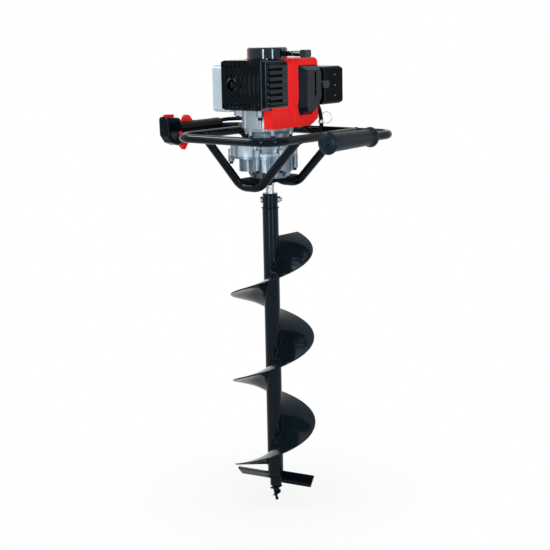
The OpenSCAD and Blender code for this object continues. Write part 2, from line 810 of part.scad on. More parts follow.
module muffler() color("#1d1f22") {
    h = 88;
    l = 54;
    wall = 1.5;
    difference() {
        translate([port_x, -48, cyl_z]) rotate([0, 90, 0]) linear_extrude(17) rounded_rect(h, l, 10);
        translate([port_x + wall, -48, cyl_z]) rotate([0, 90, 0]) linear_extrude(14)
            rounded_rect(h - 2 * wall, l - 2 * wall, 9);
        x_rod(8, port_x - 1, port_x + 3, -54, cyl_z);
        x_rod(6, port_x + 10, port_x + 20, -34, cyl_z - 28);
    }
}

// Plan of the cylinder cover, drawn in by an inset, with a large round at the front right
module cover_plan(inset) {
    x = cover_x - inset;
    y0 = -cover_front + inset;
    r = cover_corner - inset;
    polygon([[-x, 0], [-x, y0 + 5], [-x + 5, y0], [x - r, y0], [x - r, y0 + r], [x, y0 + r], [x, 0]]);
    translate([x - r, y0 + r]) circle(r);
}

// Solid of the cylinder cover, drawn in by an inset
module cover_solid(inset) {
    intersection() {
        translate([0, -cover_back, (block_z0 + cover_z1) / 2]) rotate([90, 0, 0])
            linear_extrude(cover_front - cover_back - inset)
            rounded_rect(cover_w - 2 * inset, cover_z1 - block_z0 - 2 * inset, cover_round - inset);
        translate([0, 0, block_z0 - 1]) linear_extrude(block_h + 20) cover_plan(inset);
    }
}

module cylinder_cover() color("#14171a") {
    slots = 9;
    slot_w = 5;
    first = -cover_x + 9;
    pitch = (cover_w - 29) / (slots - 1);
    mid = (block_z0 + cover_z1) / 2;
    difference() {
        cover_solid(0);
        translate([0, 1, 0]) cover_solid(cover_wall);
        for (i = [0:slots - 1]) translate([first + i * pitch - slot_w / 2, -cover_front, 0]) {
            box(0, slot_w, -1, 12, cover_z1 - 16, cover_z1 + 1);
            box(0, slot_w, -1, 12, block_z0 - 1, block_z0 + 15);
            box(0, slot_w, -1, 6, i > 3 ? mid - 25 : cyl_z + plug_hole_r + 2, mid + 25);
        }
        for (i = [0:5]) box(cover_x - 5, cover_x + 1, -cover_front + 14, -cover_back - 20,
            mid + (i - 2.5) * 14.2 - 3, mid + (i - 2.5) * 14.2 + 3);
        y_rod(plug_hole_r, -cover_front - 1, -cover_front + 5, plug_hole_x, cyl_z);
        box(-cover_x + cover_wall + 0.5, cover_x - cover_wall - 0.5, -60, 1, block_z0 - 1, block_z0 + 15);
    }
}

// Plan of the shroud, and its skirt on the right-hand side
module engine_shroud() color("#d2202a") {
    l = shroud_back + cover_back;
    skirt_front = -64;
    lip = 42;
    turn = shroud_back - 29;
    difference() {
        union() {
            translate([0, shroud_back, (block_z0 + top_z) / 2]) rotate([90, 0, 0]) linear_extrude(l)
                rounded_rect(cover_w, top_z - block_z0, cover_round);
            box(cover_x - cover_wall, cover_x, -cover_back, shroud_back, block_z0 - 20, block_z0 + 40);
        }
        translate([0, shroud_back - cover_wall, (block_z0 + top_z) / 2]) rotate([90, 0, 0]) linear_extrude(l)
            rounded_rect(cover_w - 2 * cover_wall, top_z - block_z0 - 2 * cover_wall, cover_round - cover_wall);
        box(-cover_x + cover_wall, cover_x - cover_wall, -cover_back - 1, shroud_back - cover_wall,
            block_z0 - 60, block_z0 + 20);
        translate([0, 0, block_z1]) cylinder(r = 36, h = 20);
        y_rod(26, shroud_back - 10, shroud_back + 1, 0, carb_z);
    }
    difference() {
        translate([cover_x - cover_wall, 0, block_z0]) rotate([90, 0, 90]) linear_extrude(cover_wall)
            polygon([[skirt_front, 0], [skirt_front, -skirt_h], [turn, -skirt_h], [turn + 18, 9 - skirt_h],
                [shroud_back, 16 - skirt_h], [shroud_back, 0]]);
        box(0, cover_x + 1, -cover_back, shroud_back + 1, block_z0, block_z0 + 60);
    }
    difference() {
        box(lip, cover_x, skirt_front - cover_wall, skirt_front, block_z0 - skirt_h, block_z0);
        translate([0, 0, fan_z0 - 20]) cylinder(r = fan_r + 3, h = fan_h + 40);
    }
}

// Angular cover on the shroud's right-hand side
module side_cover() color("#16191d") {
    t = 16;
    z0 = block_z0;
    front = 30;
    back = shroud_back + 5;
    top = block_h - 9;
    low = -17;
    outer = [[front, top], [front, 19], [front - 4, 6], [front + 3, low], [back - 34, low], [back - 14, -3], [back, 20],
        [back, top - 14], [back - 7, top]];
    inner = [[front + 16, top - 11], [front + 16, 20], [front + 13, 8], [front + 17, low + 9], [back - 38, low + 9],
        [back - 22, 4], [back - 12, 24], [back - 12, top - 17], [back - 16, top - 11]];
    difference() {
        hull() {
            translate([cover_x, 0, z0]) rotate([90, 0, 90]) linear_extrude(1) polygon(outer);
            translate([cover_x, 0, z0]) rotate([90, 0, 90]) linear_extrude(t) polygon(inner);
        }
        box(cover_x + 6, cover_x + t + 1, 72, 78, z0 + 26, z0 + 82);
    }
}

module intake_manifold() color("#15171a") {
    difference() {
        union() {
            y_rod(15, block_r + 2, carb_y0, 0, carb_z);
            translate([0, carb_y0, carb_z]) rotate([90, 0, 0]) linear_extrude(5) rounded_rect(44, 36, 8);
            translate([0, block_r + 7, carb_z]) rotate([90, 0, 0]) linear_extrude(5) rounded_rect(44, 36, 8);
        }
        y_rod(9, block_r, carb_y0 + 1, 0, carb_z);
    }
}

module carburettor() color("#a9adb0") {
    difference() {
        union() {
            box(-20, 20, carb_y0, carb_y1, carb_z - 18, carb_z + 16);
            translate([0, (carb_y0 + carb_y1) / 2, carb_z + 16]) cylinder(r = 10, h = 4);
            translate([0, (carb_y0 + carb_y1) / 2, carb_z + 16]) cylinder(r = 3, h = 12);
            box(19, 52, carb_y0 + 6, carb_y0 + 20, carb_z - 2, carb_z + 1);
        }
        y_rod(9, carb_y0 - 1, carb_y1 + 1, 0, carb_z);
        translate([0, (carb_y0 + carb_y1) / 2, carb_z - 19]) cylinder(r = 9.5, h = 8);
    }
}

// Lever on the carburettor's throttle spindle
module throttle_arm() color("#8d9196") {
    translate([0, (carb_y0 + carb_y1) / 2, carb_z + 20.2]) linear_extrude(3) difference() {
        union() {
            circle(5.5);
            translate([0, -2.5]) square([9, 5]);
            translate([9, 0]) circle(2.5);
        }
        circle(3 + run_fit);
    }
}

module primer_bulb() color("#c8ccd0") {
    translate([0, (carb_y0 + carb_y1) / 2, carb_z - 18.5]) {
        cylinder(r = 9.5 - 0.3, h = 1.5);
        intersection() {
            sphere(9);
            translate([-10, -10, -10]) cube([20, 20, 10]);
        }
    }
}

// Choke lever as an oval knob on the filter base's right-hand edge
module choke_lever() color("#1c2025") {
    knob_r = 9;
    reach = 8;
    translate([filter_x + 0.3, choke_y, choke_z]) rotate([0, 90, 0]) difference() {
        linear_extrude(8) {
            circle(knob_r);
            translate([-knob_r, -reach]) square([2 * knob_r, reach]);
            translate([0, -reach]) circle(knob_r);
        }
        translate([0, 0, -1]) cylinder(r = choke_pin_r + run_fit, h = 6.5);
    }
}

module filter_base() color("#1a1d21") {
    difference() {
        union() {
            translate([0, filter_y0, (filter_z0 + filter_z1) / 2]) rotate([90, 0, 0]) linear_extrude(6)
                rounded_rect(2 * filter_x, filter_z1 - filter_z0, 14);
            x_rod(choke_pin_r, filter_x - 10, filter_x + 5, choke_y, choke_z);
        }
        y_rod(9, carb_y1 - 1, filter_y0 + 1, 0, carb_z);
    }
}

module filter_element() color("#c9b37a") {
    translate([0, filter_y0 + 30, (filter_z0 + filter_z1) / 2]) rotate([90, 0, 0]) linear_extrude(30)
        difference() {
            rounded_rect(2 * filter_x - 20, filter_z1 - filter_z0 - 20, 10);
            rounded_rect(2 * filter_x - 60, filter_z1 - filter_z0 - 56, 6);
        }
}

// Solid of the filter cover, drawn in by an inset, with cut corners at the rear
module filter_shape(inset) {
    x = filter_x - inset;
    z0 = filter_z0 + inset;
    z1 = filter_z1 - inset;
    back = filter_back - inset;
    intersection() {
        translate([0, back, (z0 + z1) / 2]) rotate([90, 0, 0]) linear_extrude(back - filter_y0)
            rounded_rect(2 * x, z1 - z0, 12 - inset);
        translate([0, 0, z0 - 1]) linear_extrude(z1 - z0 + 2)
            polygon([[-x - 1, filter_y0 - 1], [x + 1, filter_y0 - 1], [x + 1, back - 9], [x - 8, back],
                [-x + 8, back], [-x - 1, back - 9]]);
        translate([-x - 1, 0, 0]) rotate([90, 0, 90]) linear_extrude(2 * x + 2)
            polygon([[filter_y0 - 1, z0 - 1], [back - 14, z0 - 1], [back, z0 + 13], [back, z1 - 13],
                [back - 14, z1 + 1], [filter_y0 - 1, z1 + 1]]);
    }
}

module filter_cover() color("#15181c") {
    wall = 3;
    zc = (filter_z0 + filter_z1) / 2;
    difference() {
        filter_shape(0);
        translate([0, -1, 0]) filter_shape(wall);
        for (i = [-1:1]) box(filter_x - 1.2, filter_x + 1, filter_y0 + 36, filter_y0 + 38.5,
            zc + i * 25 - 4, zc + i * 25 + 4);
    }
}

// Fuel system

// Box rounded on all its edges, drawn in by an inset
module tank_shape(inset) {
    r = tank_round - inset;
    w = tank_w - 2 * inset;
    l = tank_l - 2 * inset;
    h = tank_h - 2 * inset;
    translate([tank_x - tank_w / 2, tank_y0 + tank_l / 2, tank_z0 + tank_h / 2]) intersection() {
        translate([0, 0, -h / 2]) linear_extrude(h) rounded_rect(w, l, r);
        translate([0, l / 2, 0]) rotate([90, 0, 0]) linear_extrude(l) rounded_rect(w, h, r);
        translate([-w / 2, 0, 0]) rotate([90, 0, 90]) linear_extrude(w) rounded_rect(l, h, r);
    }
}

module fuel_tank() color("#dfe4e6") {
    tank_z1 = tank_z0 + tank_h;
    difference() {
        union() {
            tank_shape(0);
            translate([cap_x, cap_y, tank_z1 - 4]) cylinder(r = neck_in_r, h = 10);
            for (y = [-10, 50]) x_rod(7, tank_x - 8, -cover_x, y, tank_z0 + 54);
        }
        tank_shape(tank_wall);
        translate([cap_x, cap_y, tank_z1 - 8]) cylinder(r = neck_in_r - 2.5, h = 20);
    }
}

module fuel_cap() color("#17191c") {
    z = tank_z0 + tank_h + 1.5;
    difference() {
        translate([cap_x, cap_y, z]) cylinder(r = cap_r, h = 14);
        translate([cap_x, cap_y, z - 1]) cylinder(r = neck_in_r + run_fit, h = 6.5);
    }
}

module fuel_hose() color("#b8a24a") {
    cord(fuel_route, 2.5, 8, 3, [0, 0, 1]);
}

// Recoil starter

module starter_housing() color("#121417") {
    wall = 2.5;
    difference() {
        union() {
            translate([0, 0, top_z]) cylinder(r = starter_r, h = starter_h - 3);
            translate([0, 0, top_z + starter_h - 3]) cylinder(r1 = starter_r, r2 = starter_r - 3, h = 3);
            x_rod(6, 34, starter_r + 10, rope_y, rope_z);
        }
        translate([0, 0, top_z - 1]) cylinder(r = starter_r - wall, h = starter_h - wall + 1);
        x_rod(rope_r + 1, 20, starter_r + 20, rope_y, rope_z);
    }
    translate([0, 0, top_z + 7]) cylinder(r = post_r, h = starter_h - 8);
}

module starter_pulley() color("#2b2f34") {
    difference() {
        union() {
            translate([0, 0, rope_z - 6]) cylinder(r = rope_y + 6, h = 2);
            translate([0, 0, rope_z + 4]) cylinder(r = rope_y + 6, h = 2);
            translate([0, 0, rope_z - 6]) cylinder(r = rope_y - rope_r - 0.3, h = 12);
        }
        translate([0, 0, rope_z - 7]) cylinder(r = post_r + run_fit, h = 14);
    }
}

module starter_rope() color("#d8d8d2") {
    x_rod(rope_r, 4, rope_grip_x - 22, rope_y, rope_z);
}

module starter_handle() color("#1b1e22") {
    difference() {
        union() {
            x_rod(6.5, rope_grip_x - 24, rope_grip_x + 2, rope_y, rope_z);
            translate([rope_grip_x + 8, rope_y, rope_z]) rotate([90, 0, 0]) linear_extrude(22, center = true)
                rounded_rect(16, 18, 5);
        }
        x_rod(rope_r + seat_fit, rope_grip_x - 25, rope_grip_x - 20, rope_y, rope_z);
    }
}

// The frame

// Plate that lies on the struts' flats and is notched where they rise
module base_plate() color("#15181c") {
    difference() {
        translate([0, 0, plate_z0]) linear_extrude(plate_t) difference() {
            rounded_rect(plate_w, plate_l, 30);
            circle(shaft_r + 4);
            for (p = base_bolt_places) translate(p) circle(base_bolt_r + seat_fit);
        }
        for (s = [-1, 1]) strut_place(s * strut_y) strut_rod(frame_r + seat_fit, 0);
    }
}

module base_bolts() color("#17191c") {
    for (p = base_bolt_places) translate([p[0], p[1], 0]) {
        translate([0, 0, plate_z0]) cylinder(r = base_bolt_r, h = plate_t + 13);
        translate([0, 0, plate_z0 - 1.6]) cylinder(r = 8, h = 1.6);
        translate([0, 0, plate_z0 - 7]) cylinder(r = 7.5, h = 5.4, $fn = 6);
    }
}

module guard_tube() color("#14171b") {
    difference() {
        translate([0, 0, ring_z]) {
            for (s = [-1, 1]) {
                translate([s * guard_x, -guard_front + guard_bend, 0]) rotate([-90, 0, 0])
                    tube_run(bar_back + guard_front - guard_bend);
                translate([s * (guard_x - guard_bend), -guard_front + guard_bend, 0])
                    rotate([0, 0, s > 0 ? -90 : 180]) tube_bend(guard_bend, 90);
            }
            translate([-guard_x + guard_bend, -guard_front, 0]) rotate([0, 90, 0])
                tube_run(guard_w - 2 * guard_bend);
        }
        x_rod(frame_r + seat_fit, -bar_x, bar_x, bar_back, ring_z);
    }
}

module handlebar_tube() color("#14171b") {
    right_front = -grip_front + grip_wall_end;
    translate([0, 0, ring_z]) {
        translate([bar_x, right_front, 0]) rotate([-90, 0, 0]) tube_run(bar_back - bar_bend - right_front);
        translate([-bar_x, left_arm_front + handle_y, 0]) rotate([-90, 0, 0])
            tube_run(bar_back - bar_bend - left_arm_front - handle_y);
        translate([bar_x - bar_bend, bar_back - bar_bend, 0]) tube_bend(bar_bend, 90);
        translate([-bar_x + bar_bend, bar_back - bar_bend, 0]) rotate([0, 0, 90]) tube_bend(bar_bend, 90);
        translate([-bar_x + bar_bend, bar_back, 0]) rotate([0, 90, 0]) tube_run(bar_w - 2 * bar_bend);
    }
}

// Bent rod in the plane of a strut; the straight stretches reach a little into the slightly fuller bends
module strut_rod(r, over) {
    lap = 1;
    leg = strut_rise / sin(strut_angle) - strut_tangent;
    translate([-strut_half - lap, 0, 0]) rotate([0, 90, 0]) cylinder(r = r, h = 2 * (strut_half + lap));
    for (s = [0, 1]) mirror([s, 0, 0]) translate([strut_half, strut_bend, 0]) {
        rotate([0, 0, -90]) rotate_extrude(angle = strut_angle) translate([strut_bend, 0]) circle(r + bend_swell);
        rotate([0, 0, strut_angle]) translate([-lap, -strut_bend, 0]) rotate([0, 90, 0])
            cylinder(r = r, h = leg + lap + over);
    }
}

module strut_place(y) {
    translate([0, y, strut_z]) rotate([90, 0, 0]) children();
}

// Bent tube from one side run of the guard under the base plate to the other
module strut(y) {
    difference() {
        strut_place(y) difference() {
            strut_rod(frame_r, 0);
            strut_rod(frame_r - frame_wall, 10);
        }
        for (s = [-1, 1]) y_rod(frame_r + seat_fit, y - 40, y + 40, s * guard_x, ring_z);
    }
}

module front_strut() color("#14171b") {
    strut(-strut_y);
}

module rear_strut() color("#14171b") {
    strut(strut_y);
}

// Grips and controls

module rubber_grip() color("#262c34") {
    rear_r = grip_r - 3.5;
    translate([bar_x, -grip_front, ring_z]) rotate([-90, 0, 0]) difference() {
        union() {
            translate([0, 0, 4]) cylinder(r = grip_flange_r, h = 8);
            cylinder(r1 = grip_flange_r - 4, r2 = grip_flange_r, h = 4);
            translate([0, 0, 12]) cylinder(r1 = grip_flange_r, r2 = grip_r, h = 5);
            translate([0, 0, 12]) cylinder(r1 = grip_r, r2 = rear_r, h = grip_len - 24);
            translate([0, 0, grip_len - 14]) cylinder(r1 = rear_r, r2 = grip_flange_r - 3, h = 4);
            translate([0, 0, grip_len - 10]) cylinder(r = grip_flange_r - 3, h = 6);
            translate([0, 0, grip_len - 4]) cylinder(r1 = grip_flange_r - 3, r2 = rear_r, h = 4);
        }
        translate([0, 0, grip_wall_end]) cylinder(r = frame_r + seat_fit, h = grip_len);
    }
}

// Rod along X through a point of the throttle handle
module handle_rod(r, x0, x1, at) {
    x_rod(r, x0, x1, at[0], at[1]);
}

module handle_solid() {
    difference() {
        union() {
            hull() for (p = head_points, s = [-1, 1])
                translate([s * (handle_r - head_round + 1), p[0], p[1]]) sphere(head_round, $fn = 24);
            translate([0, -30, 0]) rotate([-90, 0, 0]) linear_extrude(handle_back + 30) {
                for (s = [2, -2 - body_rise]) translate([0, s]) circle(handle_r);
                translate([-handle_r, -2 - body_rise]) square([2 * handle_r, 4 + body_rise]);
            }
            y_rod(cable_r + 3, handle_back - 22, handle_back, 0, cable_top);
        }
        y_rod(frame_r + seat_fit, left_arm_front, handle_back + 1, 0, 0);
        y_rod(cable_r + 0.3, handle_back - 25, handle_back + 1, 0, cable_top);
        box(-lever_half - slot_gap, lever_half + slot_gap, -46, 12, -60, -frame_r - 0.6);
        box(-lever_half - slot_gap, lever_half + slot_gap, -22, 30, frame_r + 0.4, 60);
        box(-lever_half - slot_gap, lever_half + slot_gap, -76, -38, 24, 60);
    }
}

module handle_place() {
    translate([-bar_x, handle_y, ring_z]) children();
}

// Half of the handle towards the engine
module handle_half_inner() color("#181b20") {
    handle_place() difference() {
        handle_solid();
        box(-60, 0, -120, 200, -80, 80);
        for (at = [trigger_pin, lever_pin, switch_pin]) handle_rod(pin_r + seat_fit, -1, 10, at);
        handle_rod(button_r + run_fit, -1, 40, button_at);
    }
}

// Half of the handle away from the engine, with the levers' pins
module handle_half_outer() color("#181b20") {
    handle_place() {
        difference() {
            handle_solid();
            box(0, 60, -120, 200, -80, 80);
        }
        for (at = [trigger_pin, lever_pin, switch_pin]) handle_rod(pin_r, -lever_half - slot_gap - 1, 9, at);
    }
}

// Flat lever of the throttle handle, with its pin's bore
module handle_lever(pin) {
    handle_place() difference() {
        rotate([90, 0, 90]) linear_extrude(2 * lever_half, center = true) children();
        handle_rod(pin_r + run_fit, -10, 10, pin);
    }
}

module throttle_trigger() color("#d2202a") {
    handle_lever(trigger_pin) {
        hull() {
            translate(trigger_pin) circle(6);
            translate([3, -27]) circle(3);
        }
        hull() {
            translate([3, -27]) circle(3);
            translate([-9, -42]) circle(3.5);
            translate([-24, -28]) circle(3);
        }
    }
}

module safety_lever() color("#d2202a") {
    handle_lever(lever_pin) {
        hull() {
            translate(lever_pin) circle(4);
            translate([-9, 23]) circle(3);
        }
        hull() {
            translate([-9, 23]) circle(3);
            translate([4, 27]) circle(12);
            translate([20, 21]) circle(4);
        }
    }
}

module stop_switch() color("#d2202a") {
    handle_lever(switch_pin) hull() {
        translate([-68, 41]) circle(3);
        translate(switch_pin) circle(4.5);
        translate([-46, 40]) circle(3);
    }
}

module lock_button() color("#d2202a") {
    handle_place() handle_rod(button_r, 4, handle_r + 6, button_at);
}

// Conduit with the throttle cable and the stop wires
module throttle_cable() color("#15171a") {
    cord(cable_route, cable_r, 10, 3, [0.2, 0.3, 1]);
}

pilot_point();
cutting_blades();
flight();
bit_tube();
coupling_sleeve();
coupling_bolt();
output_shaft();
output_gear();
bearings();
gearbox_lower();
gearbox_upper();
gearbox_bolts();
layshaft();
layshaft_gear();
input_shaft();
clutch_drum();
clutch_housing();
clutch_shoe_a();
clutch_shoe_b();
flywheel_fan();
crankshaft();
crankcase();
fan_housing();
cylinder_block();
spark_plug();
plug_lead();
ignition_coil();
muffler();
cylinder_cover();
engine_shroud();
side_cover();
intake_manifold();
carburettor();
throttle_arm();
primer_bulb();
choke_lever();
filter_base();
filter_element();
filter_cover();
fuel_tank();
fuel_cap();
fuel_hose();
starter_housing();
starter_pulley();
starter_rope();
starter_handle();
base_plate();
base_bolts();
guard_tube();
handlebar_tube();
front_strut();
rear_strut();
rubber_grip();
handle_half_inner();
handle_half_outer();
throttle_trigger();
safety_lever();
stop_switch();
lock_button();
throttle_cable();
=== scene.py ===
import json
import math

import bmesh
import bpy
from bpy.props import FloatProperty, FloatVectorProperty, IntProperty, PointerProperty
from mathutils import Matrix, Vector


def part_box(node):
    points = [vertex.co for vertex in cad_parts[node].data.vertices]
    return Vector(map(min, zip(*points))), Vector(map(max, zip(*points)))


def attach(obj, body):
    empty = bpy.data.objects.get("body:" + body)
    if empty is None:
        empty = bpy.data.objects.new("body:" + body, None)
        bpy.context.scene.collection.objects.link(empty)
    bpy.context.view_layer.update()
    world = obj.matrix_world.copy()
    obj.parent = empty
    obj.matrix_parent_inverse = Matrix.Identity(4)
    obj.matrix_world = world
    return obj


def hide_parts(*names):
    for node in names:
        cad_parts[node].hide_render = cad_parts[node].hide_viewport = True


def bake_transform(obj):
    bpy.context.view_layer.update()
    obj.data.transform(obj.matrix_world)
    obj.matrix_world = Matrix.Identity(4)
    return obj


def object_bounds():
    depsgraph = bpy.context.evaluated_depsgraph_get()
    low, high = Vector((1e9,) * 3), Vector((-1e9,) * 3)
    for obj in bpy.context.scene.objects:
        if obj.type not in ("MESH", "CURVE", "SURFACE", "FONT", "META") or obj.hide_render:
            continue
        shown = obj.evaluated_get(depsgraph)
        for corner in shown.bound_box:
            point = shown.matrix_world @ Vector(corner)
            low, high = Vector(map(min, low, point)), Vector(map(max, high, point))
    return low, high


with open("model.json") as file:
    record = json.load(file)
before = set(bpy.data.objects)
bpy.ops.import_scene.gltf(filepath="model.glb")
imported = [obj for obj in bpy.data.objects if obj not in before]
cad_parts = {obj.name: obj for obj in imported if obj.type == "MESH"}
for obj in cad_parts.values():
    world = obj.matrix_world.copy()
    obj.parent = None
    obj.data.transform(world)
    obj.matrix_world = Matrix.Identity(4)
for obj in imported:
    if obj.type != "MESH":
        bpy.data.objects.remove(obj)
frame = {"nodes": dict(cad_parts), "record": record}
CAD_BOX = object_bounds()

bl_info = {
    "name": "Earth auger",
    "version": (1, 0, 0),
    "blender": (4, 5, 0),
    "location": "View3D > Sidebar > Earth auger",
    "description": "Dresses the packed earth auger with its finishes, welds, screws, cords and studio",
    "category": "Object",
}

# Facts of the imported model
MM = 0.001
SLOT_OF = {s["node"]: s["material_slot"] for s in frame["record"]["subparts"]}
BODY_OF = {n: b for b, nodes in frame["record"]["behaviour"]["bodies"].items() for n in nodes}
RING_Z = (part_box("guard_tube")[0].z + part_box("guard_tube")[1].z) / 2
BLOCK_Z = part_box("crankcase")[0].z
FAN_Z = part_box("fan_housing")[0].z


# Sizes and colours that a user would change

def colour(label, note, rgb):
    return FloatVectorProperty(name=label, description=note, default=rgb, subtype="COLOR", size=3,
                               min=0, max=1)


def length(label, note, metres):
    return FloatProperty(name=label, description=note, default=metres, unit="LENGTH", precision=5)


class AugerColours(bpy.types.PropertyGroup):
    paint: colour("Black paint", "Gloss paint on the frame and the bit", (0.0013, 0.0026, 0.0042))
    # Painted light: the flight's colour is a lighter copy of the black paint, brightening the shaded flight
    flight: colour("Flight paint", "Lighter copy of the gloss paint on the flight, as painted light", (0.0045, 0.0092, 0.0138))
    red: colour("Red plastic", "Engine shroud and hand controls", (0.71, 0.0062, 0.0082))
    plastic: colour("Black plastic", "Covers, starter and throttle handle", (0.0013, 0.0025, 0.0038))
    # Painted highlight: light edges on the cylinder cover's slats and corner, standing in for the light they
    # catch
    cover_edge_highlight: colour("Cover edge highlight", "Painted highlight on the cylinder cover's edges", (0.085, 0.100, 0.120))
    casting: colour("Cast aluminium", "Gearbox, clutch and fan housings", (0.105, 0.152, 0.195))
    steel: colour("Steel", "Shafts, bolts and the wire clip", (0.36, 0.37, 0.39))
    slate: colour("Grip rubber", "Rubber grip", (0.0042, 0.0082, 0.0130))
    rubber: colour("Black rubber", "Hoses, leads and conduit", (0.0022, 0.0032, 0.0042))
    tank: colour("Tank plastic", "Milky fuel tank", (0.445, 0.553, 0.60))
    rope: colour("Rope", "Starter rope", (0.62, 0.62, 0.58))
    foam: colour("Filter foam", "Air filter element", (0.55, 0.44, 0.22))
    ceramic: colour("Ceramic", "Spark plug", (0.80, 0.79, 0.74))
    lining: colour("Friction lining", "Clutch shoes", (0.20, 0.16, 0.13))


class AugerSizes(bpy.types.PropertyGroup):
    bit_radius: length("Bit radius", "Radius that the flight sweeps", 0.100)
    tube_radius: length("Tube radius", "Outer radius of the bit's tube", 0.019)
    flight_pitch: length("Flight pitch", "Rise of the flight in one turn", 0.214)
    flight_foot: length("Flight foot", "Height of the flight's lower end", 0.096)
    flight_plate: length("Flight plate", "Thickness of the flight", 0.004)
    flight_turns: FloatProperty(name="Flight turns", description="Turns of the flight", default=2.635)
    flight_start: FloatProperty(name="Flight start", default=220.0,
                                description="Direction of the flight's lower end, in degrees")
    frame_radius: length("Frame radius", "Radius of the frame tubes", 0.010)
    weld_radius: length("Weld radius", "Radius of a weld bead", 0.0016)
    grip_ribs: IntProperty(name="Grip ribs", description="Shallow rings round the rubber grip",
                           default=26, min=4)
    cable_radius: length("Conduit radius", "Radius of the cable conduit", 0.005)
    hose_radius: length("Hose radius", "Radius of the fuel hose", 0.0025)
    lead_radius: length("Lead radius", "Radius of the ignition lead", 0.0028)
    rope_radius: length("Rope radius", "Radius of the starter rope", 0.002)


def colours():
    return bpy.context.scene.auger_colours


def sizes():
    return bpy.context.scene.auger_sizes


# Materials

NOISE_ROUGHNESS = 0.55
STREAKS_PER_PATCH = 3.1
# Pointiness range of the lighter edges: wear on most finishes, a painted highlight on the red plastic and the
# cylinder cover
WEAR_AND_HIGHLIGHT_POINTINESS = (0.53, 0.62)
COAT_ROUGHNESS = 0.08
FINISHES = {}


def finish(slot):
    return FINISHES[slot]


def value_noise(tree, coords, scale, detail=4.0):
    node = tree.nodes.new("ShaderNodeTexNoise")
    node.inputs["Scale"].default_value = scale
    node.inputs["Detail"].default_value = detail
    node.inputs["Roughness"].default_value = NOISE_ROUGHNESS
    tree.links.new(coords, node.inputs["Vector"])
    return node.outputs["Fac"]


def remap(tree, source, low, high, from_low=0.3, from_high=0.7):
    node = tree.nodes.new("ShaderNodeMapRange")
    node.inputs["From Min"].default_value = from_low
    node.inputs["From Max"].default_value = from_high
    node.inputs["To Min"].default_value = low
    node.inputs["To Max"].default_value = high
    tree.links.new(source, node.inputs["Value"])
    return node.outputs["Result"]


def mix_colour(tree, factor, first, second):
    node = tree.nodes.new("ShaderNodeMix")
    node.data_type = "RGBA"
    for socket, value in (("A", first), ("B", second)):
        target = [s for s in node.inputs if s.name == socket and s.type == "RGBA"][0]
        if isinstance(value, bpy.types.NodeSocket):
            tree.links.new(value, target)
        else:
            target.default_value = (*value, 1.0)
    tree.links.new(factor, [s for s in node.inputs if s.name == "Factor" and s.type == "VALUE"][0])
    return [s for s in node.outputs if s.type == "RGBA"][0]


def shade(rgb, factor):
    return tuple(min(1.0, c * factor) for c in rgb)


def surface(name, rgb, rough, spread=0.06, metallic=0.0, mottle=(18.0, 0.12), grain=(900.0, 0.06, 0.0004),
            wear_and_highlight=None, coat=0.0, specular=0.5, tint=(1.0, 1.0, 1.0)):
    """Adds a procedural finish: mottled colour, uneven roughness, fine grain and lighter edges, which are
    wear on most finishes and a painted highlight on the red plastic and the cylinder cover.

    mottle is its scale and share, grain its scale, strength and depth, wear_and_highlight its colour and
    share.
    """
    material = bpy.data.materials.new(name)
    material.use_nodes = True
    tree = material.node_tree
    bsdf = tree.nodes["Principled BSDF"]
    coords = tree.nodes.new("ShaderNodeTexCoord").outputs["Object"]
    patch = remap(tree, value_noise(tree, coords, mottle[0]), 0.0, 1.0)
    base = mix_colour(tree, patch, shade(rgb, 1 - mottle[1]), shade(rgb, 1 + mottle[1]))
    # lighter edges: wear on most finishes, a painted highlight on the red plastic and the cylinder cover
    if wear_and_highlight:
        edge = tree.nodes.new("ShaderNodeNewGeometry").outputs["Pointiness"]
        base = mix_colour(tree, remap(tree, edge, 0.0, wear_and_highlight[1], *WEAR_AND_HIGHLIGHT_POINTINESS), base, wear_and_highlight[0])
    tree.links.new(base, bsdf.inputs["Base Color"])
    streak = value_noise(tree, coords, mottle[0] * STREAKS_PER_PATCH, 6.0)
    tree.links.new(remap(tree, streak, rough - spread, rough + spread), bsdf.inputs["Roughness"])
    bump = tree.nodes.new("ShaderNodeBump")
    bump.inputs["Strength"].default_value = grain[1]
    bump.inputs["Distance"].default_value = grain[2]
    tree.links.new(value_noise(tree, coords, grain[0], 3.0), bump.inputs["Height"])
    tree.links.new(bump.outputs["Normal"], bsdf.inputs["Normal"])
    bsdf.inputs["Metallic"].default_value = metallic
    bsdf.inputs["Specular IOR Level"].default_value = specular
    bsdf.inputs["Specular Tint"].default_value = (*tint, 1.0)
    bsdf.inputs["Coat Weight"].default_value = coat
    bsdf.inputs["Coat Roughness"].default_value = COAT_ROUGHNESS
    FINISHES[name] = material


